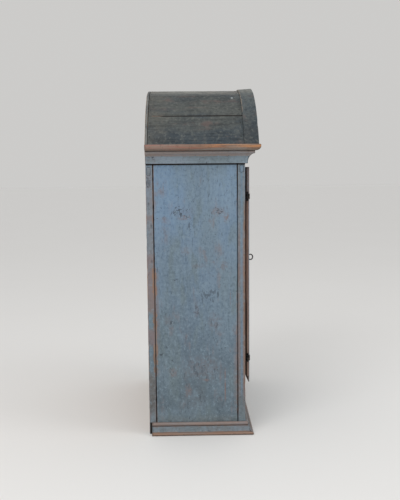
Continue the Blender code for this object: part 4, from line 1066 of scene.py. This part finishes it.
backKnots = [
    ((-0.19, backY, 0.63), (0.012, 0.1, 0.016)),
    ((-0.12, backY, 0.27), (0.009, 0.1, 0.012)),
    ((0.03, backY, 0.75), (0.011, 0.1, 0.015)),
    ((0.06, backY, 0.40), (0.014, 0.1, 0.018)),
    ((0.17, backY, 0.56), (0.008, 0.1, 0.011)),
    ((0.21, backY, 0.21), (0.012, 0.1, 0.016)),
]
backBoardTone = (0.92, 1.06, 0.98)
backBoardShift = (0.31, 0.17, 1.3)
shelfKnots = [
    ((-0.16, 0.05, 0.43), (0.016, 0.012, 0.1)),
    ((0.11, -0.02, 0.67), (0.014, 0.010, 0.1)),
    ((0.05, 0.08, 0.17), (0.017, 0.012, 0.1)),
]


def pineBoards():
    across = pineRecipe("agedPine.across", "x", knots=shelfKnots)
    deep = pineRecipe("agedPine.deep", "y")
    for i, share in enumerate(backBoardTone, 1):
        tones = {key: (*[part * share for part in colour[:3]], 1.0) for key, colour in pineTones.items()}
        shift = [way * i for way in backBoardShift]
        upright = pineRecipe(f"agedPine.upright.{i}", "z", tones, shift, backKnots)
        wornCopy(f"back_board_{i}", plainWear, "z", upright)
    for name in ("back_bottom_rail", "bottom_board", "top_board"):
        wornCopy(name, plainWear, "x", across)
    for level in ("lower", "upper"):
        wornCopy(f"shelf_{level}", plainWear, "x", across)
        for side in ("left", "right"):
            wornCopy(f"batten_{level}_{side}", plainWear, "y", deep)


pineBoards()
print("pine boards worn in")

# nails and pegs

headSizes = {
    "Head Radius": 0.0026,
    "Head Height": 0.0009,
    "Crown": 0.45,
    "Sides": 8,
    "Spread": 0.15,
    "Seed": 3,
}


def drivenHeadTree():
    tree = bpy.data.node_groups.new("drivenHeads", "GeometryNodeTree")
    face = tree.interface
    face.new_socket("Geometry", in_out="INPUT", socket_type="NodeSocketGeometry")
    for label, kind in (
        ("Head Radius", "Float"), ("Head Height", "Float"), ("Crown", "Float"), ("Sides", "Int"),
        ("Spread", "Float"), ("Seed", "Int"), ("Finish", "Material"),
    ):
        face.new_socket(label, in_out="INPUT", socket_type="NodeSocket" + kind)
    face.new_socket("Geometry", in_out="OUTPUT", socket_type="NodeSocketGeometry")
    graph = Recipe("drivenHeads", tree)
    given = graph.node("NodeGroupInput").socket.node
    asked = {socket.name: Wire(graph, socket) for socket in given.outputs}
    head = graph.node("GeometryNodeMeshCone", sockets={
        "Vertices": asked["Sides"],
        "Radius Top": asked["Head Radius"] * asked["Crown"],
        "Radius Bottom": asked["Head Radius"],
        "Depth": asked["Head Height"],
    })
    kind = {"data_type": "FLOAT_VECTOR"}
    outward = graph.node("GeometryNodeInputNamedAttribute", kind, {"Name": "outward"})
    turn = graph.node("FunctionNodeAlignRotationToVector", {"axis": "Z"}, {"Vector": outward})
    vary = graph.node("FunctionNodeRandomValue", {"data_type": "FLOAT"}, {
        2: 1 - asked["Spread"], 3: 1 + asked["Spread"], "Seed": asked["Seed"],
    }, out=1)
    laid = graph.node("GeometryNodeInstanceOnPoints", sockets={
        "Points": asked["Geometry"], "Instance": head, "Rotation": turn, "Scale": vary,
    })
    solid = graph.node("GeometryNodeRealizeInstances", sockets={0: laid})
    dressed = graph.node("GeometryNodeSetMaterial", sockets={
        "Geometry": solid, "Material": asked["Finish"],
    })
    graph.node("NodeGroupOutput", sockets={0: dressed})
    return tree


headMaker = drivenHeadTree()


def driveHeads(name, spots, sizes, finish, body):
    mesh = bpy.data.meshes.new(name)
    mesh.from_pydata([spot for spot, _ in spots], [], [])
    outward = mesh.attributes.new("outward", "FLOAT_VECTOR", "POINT")
    outward.data.foreach_set("vector", [part for _, normal in spots for part in normal])
    piece = bpy.data.objects.new(name, mesh)
    bpy.context.scene.collection.objects.link(piece)
    maker = piece.modifiers.new("heads", "NODES")
    maker.node_group = headMaker
    values = {**headSizes, **sizes, "Finish": finish}
    for socket in headMaker.interface.items_tree:
        if socket.in_out == "INPUT" and socket.name in values:
            maker[socket.identifier] = values[socket.name]
    plain = bpy.data.meshes.new_from_object(piece.evaluated_get(bpy.context.evaluated_depsgraph_get()))
    piece.modifiers.remove(maker)
    piece.data = plain
    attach(piece, body)


surfaces = {}


def onSurface(name, start, way):  # where a nail driven that way meets the board
    if name not in surfaces:
        mesh = nodes[name].data
        corners, faces = [v.co for v in mesh.vertices], [p.vertices for p in mesh.polygons]
        surfaces[name] = BVHTree.FromPolygons(corners, faces)
    spot, normal, _, _ = surfaces[name].ray_cast(Vector(start), Vector(way))
    return spot, normal


roofNails = {"inset": 0.26, "fromRear": 0.006, "clear": 0.05, "Head Radius": 0.0027, "Head Height": 0.0008}
mouldNails = {
    "spacing": 0.105,
    "levels": {"cornice_cove": 0.62, "base_moulding": 0.52},
    "clearSide": 0.6,
    "clearFront": 0.5,
    "Head Radius": 0.0016,
    "Head Height": 0.0005,
    "Crown": 0.6,
}


def roofNailSpots(s):
    spots = []
    gableY = (boxes["tympanum_board"][0].y + boxes["tympanum_board"][1].y) / 2
    rearY = boxes["roof_board_1"][1].y - s["fromRear"]
    for name in roofBoards:
        angles = [math.atan2(v.co.x, v.co.z - roofCentreZ) for v in nodes[name].data.vertices]
        low, high = min(angles), max(angles)
        for y in (gableY, rearY):
            for share in (s["inset"], 1 - s["inset"]):
                angle = low + (high - low) * share
                outward = Vector((math.sin(angle), 0, math.cos(angle)))
                start = Vector((0, y, roofCentreZ)) + outward * (roofRadius + s["clear"])
                spots.append(onSurface(name, start, -outward))
    return spots


def evenly(low, high, spacing):
    count = round((high - low) / spacing)
    return [low + (high - low) * (i + 0.5) / count for i in range(count)]


def mouldNailSpots(s):
    spots = []
    for kind, share in s["levels"].items():
        low, high = boxes[f"{kind}_front"]
        level = low.z + (high.z - low.z) * share
        for side, sign in (("left", -1), ("right", 1)):
            for y in evenly(faceY, backY, s["spacing"]):
                start = (sign * s["clearSide"], y, level)
                spots.append(onSurface(f"{kind}_{side}", start, (-sign, 0, 0)))
        for x in evenly(-sideX, sideX, s["spacing"]):
            spots.append(onSurface(f"{kind}_front", (x, -s["clearFront"], level), (0, 1, 0)))
    return spots


pegs = {
    "railWay": 0.036,
    "railRise": 0.014,
    "stubWay": 0.017,
    "stubLevels": (0.070, 0.125),
    "doorWay": 0.021,
    "doorDrops": (0.044, 0.064),
    "doorRises": (0.046, 0.072),
    "Head Radius": 0.0042,
    "Head Height": 0.0006,
    "Crown": 0.9,
    "Sides": 10,
    "Spread": 0.08,
}
pegTones = {**pineTones, "light": rgb(150, 124, 104), "middle": rgb(120, 104, 94)}
pins = {
    "caseInset": 0.006,
    "plateInset": 0.005,
    "strikeInset": 0.007,
    "Head Radius": 0.0017,
    "Head Height": 0.0008,
    "Crown": 0.5,
    "Sides": 10,
    "Spread": 0.05,
}
toFront = Vector((0, -1, 0))


def framePegSpots(s):
    railLow = boxes["front_top_rail"][0].z
    spots = []
    for sign in (-1, 1):
        spots.append((Vector((sign * (openingX + s["railWay"]), faceY, railLow + s["railRise"])), toFront))
        for level in s["stubLevels"]:
            spots.append((Vector((sign * (openingX + s["stubWay"]), faceY, level)), toFront))
    return spots


def doorPegSpots(s):
    pegX = boxes["door_lock_stile"][0].x + s["doorWay"]
    levels = [boxes["door_top_rail"][1].z - drop for drop in s["doorDrops"]]
    levels += [boxes["door_bottom_rail"][0].z + rise for rise in s["doorRises"]]
    return [(Vector((sign * pegX, doorFrontY, level)), toFront) for sign in (-1, 1) for level in levels]


def lockPinSpots(s):
    low, high = boxes["lock_case"]
    inset = s["caseInset"]
    spots = [
        (Vector((x, high.y, z)), -toFront)
        for x in (low.x + inset, high.x - inset) for z in (low.z + inset, high.z - inset)
    ]
    low, high = boxes["escutcheon"]
    middle, inset = (low.x + high.x) / 2, s["plateInset"]
    return spots + [(Vector((middle, low.y, z)), toFront) for z in (low.z + inset, high.z - inset)]


def strikePinSpots(s):
    low, high = boxes["strike_plate"]
    middle, inset = (low.y + high.y) / 2, s["strikeInset"]
    return [(Vector((low.x, middle, z)), Vector((-1, 0, 0))) for z in (low.z + inset, high.z - inset)]


pegWood = pineRecipe("pegEndGrain", "y", pegTones)
driveHeads("roof_nails", roofNailSpots(roofNails), roofNails, paintedIron, "carcass")
driveHeads("moulding_nails", mouldNailSpots(mouldNails), mouldNails, bluedIron, "carcass")
driveHeads("frame_pegs", framePegSpots(pegs), pegs, pegWood, "carcass")
driveHeads("door_pegs", doorPegSpots(pegs), pegs, pegWood, "door")
driveHeads("lock_pins", lockPinSpots(pins), pins, forgedIron, "door")
driveHeads("strike_pins", strikePinSpots(pins), pins, forgedIron, "carcass")
print("nails, pegs and pins driven")
